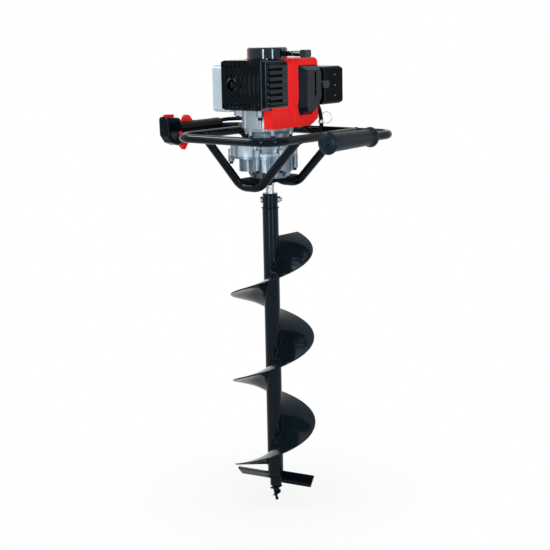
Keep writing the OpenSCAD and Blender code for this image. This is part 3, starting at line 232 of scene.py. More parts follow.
def make_finishes():
    c = colours()
    cool = (0.62, 0.84, 1.0)
    surface("black_paint", c.paint, 0.10, 0.03, mottle=(12.0, 0.25), grain=(420.0, 0.02, 0.0003),
            wear_and_highlight=((0.008, 0.011, 0.015), 0.4), specular=0.12, tint=cool)
    # painted light: a lighter copy of the black paint for the flight
    surface("flight_paint_lit_copy", c.flight, 0.12, 0.03, mottle=(12.0, 0.20), grain=(420.0, 0.02, 0.0003),
            specular=0.14, tint=cool)
    surface("matt_black", shade(c.paint, 0.8), 0.62, mottle=(30.0, 0.3), grain=(800.0, 0.2, 0.0004),
            specular=0.03)
    surface("steel", c.steel, 0.30, 0.08, 1.0, mottle=(40.0, 0.10), grain=(1600.0, 0.10, 0.0002))
    surface("cast_aluminium", c.casting, 0.42, 0.09, 0.6, mottle=(26.0, 0.14), grain=(650.0, 0.32, 0.0006),
            wear_and_highlight=((0.50, 0.56, 0.61), 0.5), specular=0.3)
    surface("friction_lining", c.lining, 0.80, mottle=(300.0, 0.30), grain=(900.0, 0.4, 0.0006))
    surface("ceramic", c.ceramic, 0.18, coat=0.4)
    surface("black_rubber", c.rubber, 0.46, mottle=(60.0, 0.20), grain=(1500.0, 0.12, 0.0003), specular=0.06)
    surface("grip_rubber", c.slate, 0.34, 0.06, mottle=(45.0, 0.22), grain=(1100.0, 0.14, 0.0006),
            wear_and_highlight=((0.036, 0.048, 0.062), 0.5), specular=0.12, tint=cool)
    for name, rough, spread, strength, wear_and_highlight, specular in (
            ("black_plastic", 0.14, 0.03, 0.03, ((0.008, 0.011, 0.014), 0.4), 0.08),
            ("gloss_plastic", 0.10, 0.02, 0.02, None, 0.42),
            ("satin_plastic", 0.16, 0.03, 0.03, None, 0.18),
            ("dull_plastic", 0.18, 0.03, 0.03, None, 0.03),
            # the cylinder cover's lighter edges are a painted highlight
            ("highlit_cover_plastic", 0.14, 0.03, 0.03, (c.cover_edge_highlight, 0.9), 0.07)):
        surface(name, c.plastic, rough, spread, mottle=(20.0, 0.20), grain=(1400.0, strength, 0.0003),
                wear_and_highlight=wear_and_highlight, specular=specular, tint=cool)
    # the red's lighter orange edges are a painted highlight along its rims
    surface("red_plastic", c.red, 0.22, 0.05, mottle=(9.0, 0.06), grain=(900.0, 0.04, 0.0003),
            wear_and_highlight=((0.80, 0.06, 0.04), 0.4), specular=0.04)
    surface("tank_plastic", c.tank, 0.34, 0.06, mottle=(14.0, 0.05), grain=(500.0, 0.06, 0.0004))
    tank = finish("tank_plastic").node_tree.nodes["Principled BSDF"]
    tank.inputs["Subsurface Weight"].default_value = 0.25
    tank.inputs["Subsurface Radius"].default_value = (0.02, 0.022, 0.024)
    tank.inputs["Subsurface Scale"].default_value = 0.5
    surface("filter_foam", c.foam, 0.9, mottle=(500.0, 0.35), grain=(700.0, 0.8, 0.001))
    surface("rope", c.rope, 0.75, mottle=(900.0, 0.20), grain=(2200.0, 0.5, 0.0004))


# Meshes

MERGE_WITHIN = 1e-6
CUT_WITHIN = 1e-5
POLE_RADIUS = 1e-5
FLAT_WITHIN = math.radians(0.4)
EASED_ABOVE = math.radians(38)
SEAM_WITHIN, SEAM_EASE = 0.0003, 0.12


def even_turns(count):
    return [2 * math.pi * k / count for k in range(count)]


def soften(mesh, smooth_angle):
    """Shades a mesh smooth, apart from edges sharper than the angle."""
    for polygon in mesh.polygons:
        polygon.use_smooth = True
    mesh.set_sharp_from_angle(angle=math.radians(smooth_angle))


def new_piece(name, mesh, body, slot, replaces=(), smooth_angle=35.0):
    """Links a finished mesh as a piece that rides on a body."""
    if not mesh.has_custom_normals:
        soften(mesh, smooth_angle)
    piece = bpy.data.objects.new(name, mesh)
    bpy.context.scene.collection.objects.link(piece)
    if not mesh.materials:
        mesh.materials.append(finish(slot))
    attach(piece, body)
    if replaces:
        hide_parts(*replaces)
    return piece


def skin(rings, loop=False):
    """Points and faces of a skin over rings that run counter-clockwise when looking along the row."""
    n = len(rings[0])
    points = [p for ring in rings for p in ring]
    rows = len(rings) if loop else len(rings) - 1
    faces = []
    for i in range(rows):
        a, b = i * n, ((i + 1) % len(rings)) * n
        for k in range(n):
            j = (k + 1) % n
            faces.append((a + k, b + k, b + j, a + j))
    if not loop:
        faces.append(tuple(range(n)))
        faces.append(tuple(len(points) - n + k for k in reversed(range(n))))
    return points, faces


def merged(parts):
    """Joins several (points, faces) pairs into one."""
    points, faces = [], []
    for p, f in parts:
        base = len(points)
        points.extend(p)
        faces.extend(tuple(i + base for i in face) for face in f)
    return points, faces


def closed_mesh(name, points, faces):
    """A mesh with its doubles closed and its faces pointing outwards."""
    mesh = bpy.data.meshes.new(name)
    mesh.from_pydata([tuple(p) for p in points], [], faces)
    work = bmesh.new()
    work.from_mesh(mesh)
    bmesh.ops.remove_doubles(work, verts=work.verts, dist=MERGE_WITHIN)
    bmesh.ops.recalc_face_normals(work, faces=work.faces)
    work.to_mesh(mesh)
    work.free()
    mesh.update()
    return mesh


def built(name, shape, body, slot, replaces=(), smooth_angle=35.0):
    """A piece from points and faces."""
    return new_piece(name, closed_mesh(name, *shape), body, slot, replaces, smooth_angle)


def smooth_route(points, steps):
    """A smooth curve through the points, in metres."""
    p = [Vector(q) for q in points]
    route = []
    for i in range(len(p) - 1):
        a, b, c, d = p[max(i - 1, 0)], p[i], p[i + 1], p[min(i + 2, len(p) - 1)]
        for k in range(steps):
            t = k / steps
            route.append(0.5 * (2 * b + (c - a) * t + (2 * a - 5 * b + 4 * c - d) * t * t
                                + (3 * b - a - 3 * c + d) * t ** 3))
    return route + [p[-1]]


def tube(route, radius, sides, loop=False):
    """Skin of a round cord along a route."""
    n = len(route)
    rings = []
    side = None
    for i, p in enumerate(route):
        before = route[(i - 1) % n] if loop or i else p
        after = route[(i + 1) % n] if loop or i < n - 1 else p
        t = (after - before).normalized()
        if side is None:
            up = Vector((0, 0, 1)) if abs(t.z) < 0.9 else Vector((0, 1, 0))
            side = t.cross(up).normalized()
        side = (side - t * side.dot(t)).normalized()
        top = side.cross(t)
        rings.append([p + radius * (side * math.cos(a) + top * math.sin(a)) for a in even_turns(sides)])
    return skin(rings, loop)


def lathe(profile, origin, axis, sides):
    """Solid of revolution: profile is a row of (radius, distance along the axis)."""
    axis = Vector(axis).normalized()
    side = axis.orthogonal().normalized()
    other = axis.cross(side)
    origin = Vector(origin)
    rings = []
    for r, h in profile:
        r = max(r, POLE_RADIUS)
        rings.append([origin + axis * h + r * (side * math.cos(a) - other * math.sin(a))
                      for a in even_turns(sides)])
    return skin(rings)


def baked(mesh, build):
    """Runs a modifier stack on a scratch object and gives its plain mesh."""
    scratch = bpy.data.objects.new("scratch", mesh)
    bpy.context.scene.collection.objects.link(scratch)
    build(scratch)
    graph = bpy.context.evaluated_depsgraph_get()
    made = bpy.data.meshes.new_from_object(scratch.evaluated_get(graph), depsgraph=graph)
    bpy.data.objects.remove(scratch)
    return made


def cut_fine(work, spacing):
    """Cuts a mesh along even planes across X and Z, so that the painted edge highlight stays close to its
    edges.
    """
    for axis in (0, 2):
        low = min(v.co[axis] for v in work.verts)
        high = max(v.co[axis] for v in work.verts)
        for i in range(1, int((high - low) / spacing)):
            at, normal = Vector((0, 0, 0)), Vector((0, 0, 0))
            at[axis] = low + i * spacing
            normal[axis] = 1.0
            parts = work.verts[:] + work.edges[:] + work.faces[:]
            bmesh.ops.bisect_plane(work, geom=parts, plane_co=at, plane_no=normal, dist=CUT_WITHIN)


def dressed(node, edge, look=None, smooth_angle=35.0, segments=2, seam=None, spacing=None):
    """A copy of a CAD node with eased edges, which stands for it; edges on a seam plane stay crisp."""
    work = bmesh.new()
    work.from_mesh(frame["nodes"][node].data)
    bmesh.ops.remove_doubles(work, verts=work.verts, dist=MERGE_WITHIN)
    bmesh.ops.dissolve_limit(work, angle_limit=FLAT_WITHIN, verts=work.verts, edges=work.edges)
    if spacing:
        cut_fine(work, spacing)
    weight = work.edges.layers.float.new("bevel_weight_edge")
    for line in work.edges:
        if len(line.link_faces) == 2 and line.calc_face_angle() > EASED_ABOVE:
            on_seam = seam is not None and all(abs(v.co.x - seam) < SEAM_WITHIN for v in line.verts)
            line[weight] = SEAM_EASE if on_seam else 1.0
    mesh = bpy.data.meshes.new("scratch")
    work.to_mesh(mesh)
    work.free()
    soften(mesh, smooth_angle)

    def ease(scratch):
        bevel = scratch.modifiers.new("eased", "BEVEL")
        bevel.width = edge
        bevel.segments = segments
        bevel.limit_method = "WEIGHT"
        bevel.use_clamp_overlap = True
        bevel.miter_outer = "MITER_ARC"
        bevel.mark_sharp = False
        even = scratch.modifiers.new("even", "WEIGHTED_NORMAL")
        even.weight = 90
        even.keep_sharp = False

    made = baked(mesh, ease)
    made.name = node + "_shell"
    made.materials.clear()
    piece = new_piece(node + "_shell", made, BODY_OF[node], SLOT_OF[node], [node], smooth_angle)
    if look:
        piece.data.materials[0] = finish(look)


# Geometry node trees

WELD_RIPPLE, WELD_RIPPLE_TURN, WELD_SPACING = 0.16, 1.9, 0.7
SOCKET_SHARE = 0.52
TREES = {}


def new_tree(name, labels):
    """A tree with named number inputs and one for the material."""
    tree = bpy.data.node_groups.new(name, "GeometryNodeTree")
    tree.interface.new_socket(name="Geometry", in_out="INPUT", socket_type="NodeSocketGeometry")
    inputs = [(label, "NodeSocketFloat") for label in labels] + [("Material", "NodeSocketMaterial")]
    ids = {label: tree.interface.new_socket(name=label, in_out="INPUT", socket_type=kind).identifier
           for label, kind in inputs}
    tree.interface.new_socket(name="Geometry", in_out="OUTPUT", socket_type="NodeSocketGeometry")
    enter = tree.nodes.new("NodeGroupInput")
    leave = tree.nodes.new("NodeGroupOutput")
    return tree, ids, enter, leave


def math_node(tree, operation, first, second):
    node = tree.nodes.new("ShaderNodeMath")
    node.operation = operation
    for socket, value in zip(node.inputs, (first, second)):
        if isinstance(value, bpy.types.NodeSocket):
            tree.links.new(value, socket)
        else:
            socket.default_value = value
    return node.outputs[0]


def close_tree(tree, geometry, enter, leave):
    realize = tree.nodes.new("GeometryNodeRealizeInstances")
    paint = tree.nodes.new("GeometryNodeSetMaterial")
    tree.links.new(geometry, realize.inputs[0])
    tree.links.new(realize.outputs[0], paint.inputs["Geometry"])
    tree.links.new(enter.outputs["Material"], paint.inputs["Material"])
    tree.links.new(paint.outputs[0], leave.inputs[0])


def bead_tree():
    """Rippled weld bead along the edges of a mesh."""
    tree, ids, enter, leave = new_tree("weld_bead", ("Radius", "Spacing"))
    line = tree.nodes.new("GeometryNodeMeshToCurve")
    even = tree.nodes.new("GeometryNodeResampleCurve")
    even.mode = "LENGTH"
    ring = tree.nodes.new("GeometryNodeCurvePrimitiveCircle")
    ring.inputs["Resolution"].default_value = 10
    ring.inputs["Radius"].default_value = 1.0
    body = tree.nodes.new("GeometryNodeCurveToMesh")
    body.inputs["Fill Caps"].default_value = True
    index = tree.nodes.new("GeometryNodeInputIndex").outputs[0]
    wave = math_node(tree, "SINE", math_node(tree, "MULTIPLY", index, WELD_RIPPLE_TURN), 0.0)
    swell = math_node(tree, "ADD", math_node(tree, "MULTIPLY", wave, WELD_RIPPLE), 1.0)
    tree.links.new(enter.outputs["Geometry"], line.inputs[0])
    tree.links.new(line.outputs[0], even.inputs["Curve"])
    tree.links.new(enter.outputs["Spacing"], even.inputs["Length"])
    tree.links.new(even.outputs[0], body.inputs["Curve"])
    tree.links.new(math_node(tree, "MULTIPLY", swell, enter.outputs["Radius"]), body.inputs["Scale"])
    tree.links.new(ring.outputs[0], body.inputs["Profile Curve"])
    close_tree(tree, body.outputs[0], enter, leave)
    return tree, ids


def screw_tree():
    """Socket-head screws on the points of a mesh, pointing along the attribute aim."""
    tree, ids, enter, leave = new_tree("screw_heads", ("Radius", "Height"))
    head = tree.nodes.new("GeometryNodeMeshCylinder")
    head.inputs["Vertices"].default_value = 28
    socket = tree.nodes.new("GeometryNodeMeshCylinder")
    socket.inputs["Vertices"].default_value = 6
    lift = tree.nodes.new("GeometryNodeTransform")
    offset = tree.nodes.new("ShaderNodeCombineXYZ")
    cut = tree.nodes.new("GeometryNodeMeshBoolean")
    cut.operation = "DIFFERENCE"
    seat = tree.nodes.new("GeometryNodeTransform")
    rise = tree.nodes.new("ShaderNodeCombineXYZ")
    aim = tree.nodes.new("GeometryNodeInputNamedAttribute")
    aim.data_type = "FLOAT_VECTOR"
    aim.inputs["Name"].default_value = "aim"
    turn = tree.nodes.new("FunctionNodeAlignRotationToVector")
    turn.axis = "Z"
    place = tree.nodes.new("GeometryNodeInstanceOnPoints")
    radius, height = enter.outputs["Radius"], enter.outputs["Height"]
    tree.links.new(radius, head.inputs["Radius"])
    tree.links.new(height, head.inputs["Depth"])
    tree.links.new(math_node(tree, "MULTIPLY", radius, SOCKET_SHARE), socket.inputs["Radius"])
    tree.links.new(height, socket.inputs["Depth"])
    tree.links.new(math_node(tree, "MULTIPLY", height, 0.5), offset.inputs["Z"])
    tree.links.new(socket.outputs["Mesh"], lift.inputs["Geometry"])
    tree.links.new(offset.outputs[0], lift.inputs["Translation"])
    tree.links.new(head.outputs["Mesh"], cut.inputs["Mesh 1"])
    tree.links.new(lift.outputs[0], cut.inputs["Mesh 2"])
    tree.links.new(math_node(tree, "MULTIPLY", height, 0.5), rise.inputs["Z"])
    tree.links.new(cut.outputs["Mesh"], seat.inputs["Geometry"])
    tree.links.new(rise.outputs[0], seat.inputs["Translation"])
    tree.links.new(aim.outputs["Attribute"], turn.inputs["Vector"])
    tree.links.new(enter.outputs["Geometry"], place.inputs["Points"])
    tree.links.new(seat.outputs[0], place.inputs["Instance"])
    tree.links.new(turn.outputs[0], place.inputs["Rotation"])
    close_tree(tree, place.outputs[0], enter, leave)
    return tree, ids


def through_tree(key, mesh, values, material):
    """Runs a named tree over a mesh and gives the plain result."""
    if key not in TREES:
        TREES[key] = {"weld_bead": bead_tree, "screw_heads": screw_tree}[key]()
    tree, ids = TREES[key]

    def build(scratch):
        modifier = scratch.modifiers.new(key, "NODES")
        modifier.node_group = tree
        for label, value in values.items():
            modifier[ids[label]] = value
        modifier[ids["Material"]] = material

    return baked(mesh, build)


def welds(name, lines, body):
    """Weld beads along rows of points."""
    radius = sizes().weld_radius
    points, edges = [], []
    for line in lines:
        base = len(points)
        points.extend(tuple(p) for p in line)
        edges.extend((base + i, base + i + 1) for i in range(len(line) - 1))
    mesh = bpy.data.meshes.new(name)
    mesh.from_pydata(points, edges, [])
    values = {"Radius": radius, "Spacing": radius * WELD_SPACING}
    made = through_tree("weld_bead", mesh, values, finish("black_paint"))
    new_piece(name, made, body, "black_paint", smooth_angle=60.0)


def screws(name, places, radius, height, body, slot):
    """Screw heads at (point, direction) places, in millimetres."""
    mesh = bpy.data.meshes.new(name)
    mesh.from_pydata([tuple(c * MM for c in at) for at, _ in places], [], [])
    aim = mesh.attributes.new("aim", "FLOAT_VECTOR", "POINT")
    for i, (_, direction) in enumerate(places):
        aim.data[i].vector = Vector(direction).normalized()
    made = through_tree("screw_heads", mesh, {"Radius": radius * MM, "Height": height * MM}, finish(slot))
    new_piece(name, made, body, slot)


# Shapes that come up more than once

RIDGE_SECTION = ((-0.5, -0.4), (-0.46, 0.7), (-0.3, 1.0), (0.3, 1.0), (0.46, 0.7), (0.5, -0.4))
LUG_CHAMFER, LUG_SUNK, LUG_STEPS = 0.8, 6, 16


def ridge(points, width, height):
    """Raised bead with a flat top along points on a face that looks along +X; lengths in millimetres."""
    p = [Vector(q) * MM for q in points]
    rings = []
    for i, q in enumerate(p):
        before, after = p[max(i - 1, 0)], p[min(i + 1, len(p) - 1)]
        along = (after - before).normalized()
        last = (q - before).normalized() if i else along
        across = Vector((1, 0, 0)).cross(along) / max(0.5, along.dot(last))
        rings.append([q + across * a * width * MM + Vector((h * height * MM, 0, 0))
                      for a, h in RIDGE_SECTION])
    return skin(rings)


def lug(radius, degrees, reach, size, low, high):
    """Bolt lug that stands out of a round housing; lengths in millimetres."""
    a = math.radians(degrees)
    out, side = Vector((math.cos(a), math.sin(a), 0)), Vector((-math.sin(a), math.cos(a), 0))
    turns = [math.pi * k / LUG_STEPS for k in range(LUG_STEPS + 1)]
    root = out * (radius - LUG_SUNK)
    rings = []
    rows = ((low, LUG_CHAMFER), (low + LUG_CHAMFER, 0.0), (high - LUG_CHAMFER, 0.0), (high, LUG_CHAMFER))
    for z, inset in rows:
        r = size - inset
        nose = [out * (reach + r * math.sin(t)) - side * r * math.cos(t) for t in turns]
        outline = [root - side * r] + nose + [root + side * r]
        rings.append([(q + Vector((0, 0, z))) * MM for q in outline])
    return skin(rings)


def polar(radius, degrees, z):
    return (radius * math.cos(math.radians(degrees)), radius * math.sin(math.radians(degrees)), z)


def both_sides(upper):
    """Section of a plate from the (radius, height) points of its upper half, root first."""
    return [(r, -h) for r, h in upper] + list(reversed(upper))


def flight_rings(step_degrees, section):
    """Rings of a plate that winds up the tube; section is a row of (radius, height) points."""
    s = sizes()
    count = int(360 * s.flight_turns / step_degrees)
    rings = []
    for i in range(count + 1):
        share = i / count
        a = math.radians(s.flight_start + 360 * s.flight_turns * share)
        z = s.flight_foot + s.flight_pitch * s.flight_turns * share
        rings.append([Vector((r * math.cos(a), r * math.sin(a), z + h)) for r, h in section])
    return rings


# Operators, one for each group of pieces

class AUGER_OT_finishes(bpy.types.Operator):
    """Makes the finishes and gives each CAD node its own"""
    bl_idname = "auger.finishes"
    bl_label = "Finishes"

    def execute(self, context):
        make_finishes()
        for name, node in frame["nodes"].items():
            node.data.materials.clear()
            node.data.materials.append(finish(SLOT_OF[name]))
        return {"FINISHED"}


class AUGER_OT_bit(bpy.types.Operator):
    """Makes the flight, the pilot screw and the welds of the drill bit"""
    bl_idname = "auger.bit"
    bl_label = "Drill bit"

    def execute(self, context):
        self.flight()
        self.pilot()
        for node, edge in (("cutting_blades", 0.0007), ("coupling_sleeve", 0.0009),
                           ("coupling_bolt", 0.0005)):
            dressed(node, edge)
        seat = sizes().tube_radius + 0.0003
        ends = [corner.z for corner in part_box("bit_tube")]
        rings = [[Vector(polar(seat, a, z)) for a in range(0, 365, 5)] for z in ends]
        welds("tube_welds", rings, "auger")
        return {"FINISHED"}

    def flight(self):
        """The helical plate with a rounded rim, and a weld above and below its root"""
        s = sizes()
        half, rim = s.flight_plate / 2, s.bit_radius
        root, middle = s.tube_radius - 0.0002, 0.06
        section = both_sides([(root, half), (middle, half), (rim - 0.0011, half), (rim - 0.0003, half * 0.72),
                              (rim, half * 0.3)])
        plate = built("flight_plate", skin(flight_rings(2.0, section)), "auger", SLOT_OF["flight"],
                      ["flight"], 30.0)
        # painted light: the flight takes a lighter copy of the black paint
        plate.data.materials[0] = finish("flight_paint_lit_copy")
        seat, rise = s.tube_radius + 0.0006, half + 0.0004
        lines = [[ring[0] for ring in flight_rings(4.0, [(seat, h)])] for h in (-rise, rise)]
        welds("flight_welds", lines, "auger")

    def pilot(self):
        """The hub, its cone and a thread that grows from the tip"""
        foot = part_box("pilot_point")[0].z
        core = lathe([(0.0, 0.0), (0.0009, 0.0006), (0.0100, 0.0400), (0.0128, 0.0402), (0.0140, 0.0414),
                      (0.0140, 0.0640), (0.0100, 0.0645)], (0, 0, foot), (0, 0, 1), 48)
        first, wound, steps = 12, 720, 120
        rings = []
        for i in range(steps + 1):
            share = i / steps
            a = math.radians(first + wound * share)
            z = 0.003 + 0.038 * share
            reach = 0.005 + 0.0125 * share
            inner = 0.0004 + 0.0085 * share
            fin = 0.0016 + 0.0010 * share
            d = Vector((math.cos(a), math.sin(a), 0))
            section = both_sides([(inner, 1.3 * fin), (reach - 0.0012, 0.8 * fin), (reach, 0.35 * fin)])
            rings.append([d * r + Vector((0, 0, z + h)) for r, h in section])
        built("pilot_screw", merged([core, skin(rings)]), "auger", SLOT_OF["pilot_point"],
              ["pilot_point"], 40.0)


class AUGER_OT_frame(bpy.types.Operator):
    """Makes the welds of the tubular frame and eases the base plate"""
    bl_idname = "auger.frame"
    bl_label = "Tube frame"

    def execute(self, context):
        r = sizes().frame_radius
        side_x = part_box("guard_tube")[1].x - r
        bar_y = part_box("handlebar_tube")[1].y - r
        turns = [math.radians(a) for a in range(0, 361, 10)]
        lines = []
        for sx in (-1, 1):
            lines.append([Vector((sx * side_x + r * math.cos(t), bar_y - r * abs(math.cos(t)),
                                  RING_Z + r * math.sin(t))) for t in turns])
        slant = Vector((math.sqrt(0.5), 0, math.sqrt(0.5)))
        for node in ("front_strut", "rear_strut"):
            y = (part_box(node)[0].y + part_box(node)[1].y) / 2
            for sx in (-1, 1):
                along = Vector((sx * slant.x, 0, slant.z))
                across = Vector((-sx * slant.z, 0, slant.x))
                top = Vector((sx * side_x, y, RING_Z))
                lines.append([top + across * r * math.cos(t) + Vector((0, r * math.sin(t), 0))
                              - along * r * math.sqrt(max(0.0, 1 - math.cos(t) ** 2)) for t in turns])
        welds("frame_welds", lines, "machine")
        dressed("base_plate", 0.0008, "matt_black")
        dressed("base_bolts", 0.0005)
        return {"FINISHED"}


class AUGER_OT_grip(bpy.types.Operator):
    """Makes the rubber grip with its flanges and shallow rings"""
    bl_idname = "auger.grip"
    bl_label = "Rubber grip"

    def execute(self, context):
        lo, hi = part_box("rubber_grip")
        centre = Vector(((lo.x + hi.x) / 2, lo.y, (lo.z + hi.z) / 2))
        total = hi.y - lo.y
        big = (hi.x - lo.x) / 2
        rear = big - 0.0030
        body_front, body_back, bore = 0.0212, 0.0180, 0.0103
        dome_depth, rib_height, steps_per_rib = 0.0100, 0.00016, 6
        turns = [math.radians(9 * k) for k in range(11)]
        profile = [(big * math.sin(a), dome_depth * (1 - math.cos(a))) for a in turns]
        profile += [(big - 0.0004, 0.0122), (big - 0.0018, 0.0142), (body_front - 0.0004, 0.0162),
                    (body_front - 0.0020, 0.0182), (body_front - 0.0012, 0.0200)]
        start, stop = 0.0215, total - 0.0190
        ribs = sizes().grip_ribs
        steps = ribs * steps_per_rib
        for i in range(steps + 1):
            share = i / steps
            r = body_front + (body_back - body_front) * share
            r += rib_height * math.cos(2 * math.pi * ribs * share)
            profile.append((r, start + (stop - start) * share))
        flange = [(body_back + 0.0004, 0.0170), (rear - 0.0022, 0.0140), (rear - 0.0006, 0.0118),
                  (rear, 0.0090), (rear, 0.0060), (rear - 0.0010, 0.0035), (rear - 0.0030, 0.0012),
                  (rear - 0.0060, 0.0), (bore, 0.0), (bore, 0.004)]
        profile += [(r, total - short) for r, short in flange]
        built("grip_sleeve", lathe(profile, centre, (0, 1, 0), 72), "machine", SLOT_OF["rubber_grip"],
              ["rubber_grip"], 50.0)
        return {"FINISHED"}


class AUGER_OT_handle(bpy.types.Operator):
    """Eases the throttle handle and its controls and adds the handle's screws"""
    bl_idname = "auger.handle"
    bl_label = "Throttle handle"

    def execute(self, context):
        lo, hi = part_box("handle_half_outer")
        for node in ("handle_half_inner", "handle_half_outer"):
            dressed(node, 0.0045, smooth_angle=32.0, segments=4, seam=hi.x)
        for node, edge in (("throttle_trigger", 0.0030), ("safety_lever", 0.0050), ("stop_switch", 0.0034),
                           ("lock_button", 0.0024)):
            dressed(node, edge, segments=4)
        side, back, z = lo.x / MM, hi.y / MM, RING_Z / MM
        places = [((side - 0.4, back - 182, z - 8), (-1, 0, 0)), ((side + 0.4, back - 60, z), (-1, 0, 0)),
                  ((side + 0.4, back - 16, z), (-1, 0, 0))]
        screws("handle_screws", places, 2.6, 1.4, "machine", "steel")
        return {"FINISHED"}


class AUGER_OT_engine(bpy.types.Operator):
    """Eases the engine's covers and adds their screws and trim"""
    bl_idname = "auger.engine"
    bl_label = "Engine"

    def execute(self, context):
        for node, edge in (("starter_housing", 0.0012), ("starter_handle", 0.0018), ("choke_lever", 0.0012)):
            dressed(node, edge, "gloss_plastic")
        for node, edge in (("engine_shroud", 0.0012), ("filter_base", 0.0008), ("fuel_cap", 0.0012),
                           ("fuel_tank", 0.0010), ("fan_housing", 0.0010), ("cylinder_block", 0.0006),
                           ("carburettor", 0.0008)):
            dressed(node, edge)
        dressed("muffler", 0.0010, "matt_black")
        dressed("side_cover", 0.0028, "satin_plastic")
        dressed("filter_cover", 0.0016, "dull_plastic")
        # painted highlight on the cover's edges, cut fine so that it stays on them
        dressed("cylinder_cover", 0.0008, "highlit_cover_plastic", spacing=0.0041)
        self.shroud_trim()
        self.filter_rivets()
        self.housing_lugs()
        return {"FINISHED"}

    def shroud_trim(self):
        """Raised rim round the side cover, ribs on the skirt and the lip under the cylinder cover"""
        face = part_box("engine_shroud")[1].x / MM
        lo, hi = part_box("side_cover")
        front, top, foot = lo.y / MM, hi.z / MM, BLOCK_Z / MM
        rim = [(face, front - 3.1, foot + 6), (face, front + 0.9, foot + 19), (face, front + 0.9, top + 3.2),
               (face, front + 73, top + 3.2)]
        groove = [(face - 0.7, front + 2, top + 8.5), (face - 0.7, front + 66, top + 8.5)]
        lip = [(face - 2.2, -63, foot + 2.4), (face - 2.2, -9, foot + 2.4)]
        ribs = [[(face, y, foot + low), (face, y, foot + high)]
                for y, low, high in ((12, -21, 2), (-42, -39, -29))]
        beads = [ridge(rim, 3.4, 1.8), ridge(groove, 2.0, 1.0), ridge(lip, 6.0, 1.7)]
        beads += [ridge(rib, 2.2, 1.3) for rib in ribs]
        built("shroud_trim", merged(beads), "machine", "red_plastic", smooth_angle=30.0)

    def filter_rivets(self):
        """Three rivet heads in a column on the filter cover"""
        lo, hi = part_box("filter_cover")
        face, y, middle = hi.x / MM - 1.2, lo.y / MM + 37.2, (lo.z + hi.z) / 2 / MM
        places = [((face, y, middle + 25 * i), (1, 0, 0)) for i in (-1, 0, 1)]
        screws("filter_rivets", places, 1.2, 1.4, "machine", "steel")

    def housing_lugs(self):
        """Bolt lugs under the cylinder cover, with their black bolts"""
        radius, reach, size = 62, 72, 8.5
        top = BLOCK_Z / MM
        low, high = top - 16, top - 1
        turns = (220, 294)
        lugs = [lug(radius, a, reach, size, low, high) for a in turns]
        built("housing_lugs", merged(lugs), "machine", "cast_aluminium", smooth_angle=30.0)
        bolts = [(polar(reach, a, low), (0, 0, -1)) for a in turns]
        screws("lug_bolts", bolts, 4.6, 7.0, "machine", "black_paint")


class AUGER_OT_gearbox(bpy.types.Operator):
    """Eases the gearbox castings and adds the clutch flange's bolts"""
    bl_idname = "auger.gearbox"
    bl_label = "Gearbox"

    def execute(self, context):
        for node in ("gearbox_lower", "gearbox_upper", "clutch_housing", "gearbox_bolts"):
            dressed(node, 0.0009)
        under = FAN_Z / MM - 16
        places = [(polar(54, 60 * i + 20, under), (0, 0, -1)) for i in range(6)]
        screws("flange_bolts", places, 4.2, 5.0, "machine", "black_paint")
        return {"FINISHED"}


# Routes in millimetres, as in the part's source
CABLE_ROUTE = [(-254, 80, 922.5), (-254, 110, 922.5), (-248, 140, 924), (-218, 168, 924), (-142, 174, 922.5),
               (-70, 172, 923.5), (-30, 154, 924.5), (0, 132, 916.5), (30, 124, 904.5), (50, 126, 904.5),
               (57, 128, 920.5), (55, 125, 953), (48, 119, 981), (46, 118, 1004.7)]
HOSE_ROUTE = [(-100, 76.3, 979), (-100, 96, 979), (-86, 114, 982), (-54, 121, 989), (-20.3, 121, 997)]
LEAD_ROUTE = [(-30, -82.7, 1024), (-36, -77.6, 1023), (-44.5, -75.6, 1020), (-52, -70, 1014),
              (-55, -58, 1007), (-55, -40, 1003), (-55, -19.3, 1001)]
PLUG_SEAT, PLUG_TILT, PLUG_REACH = (-14, -70, 1024), 40, 0.030


def cord(route, radius, sides):
    """Skin of a smooth cord along a route in millimetres."""
    return tube(smooth_route([Vector(p) * MM for p in route], 12), radius, sides)


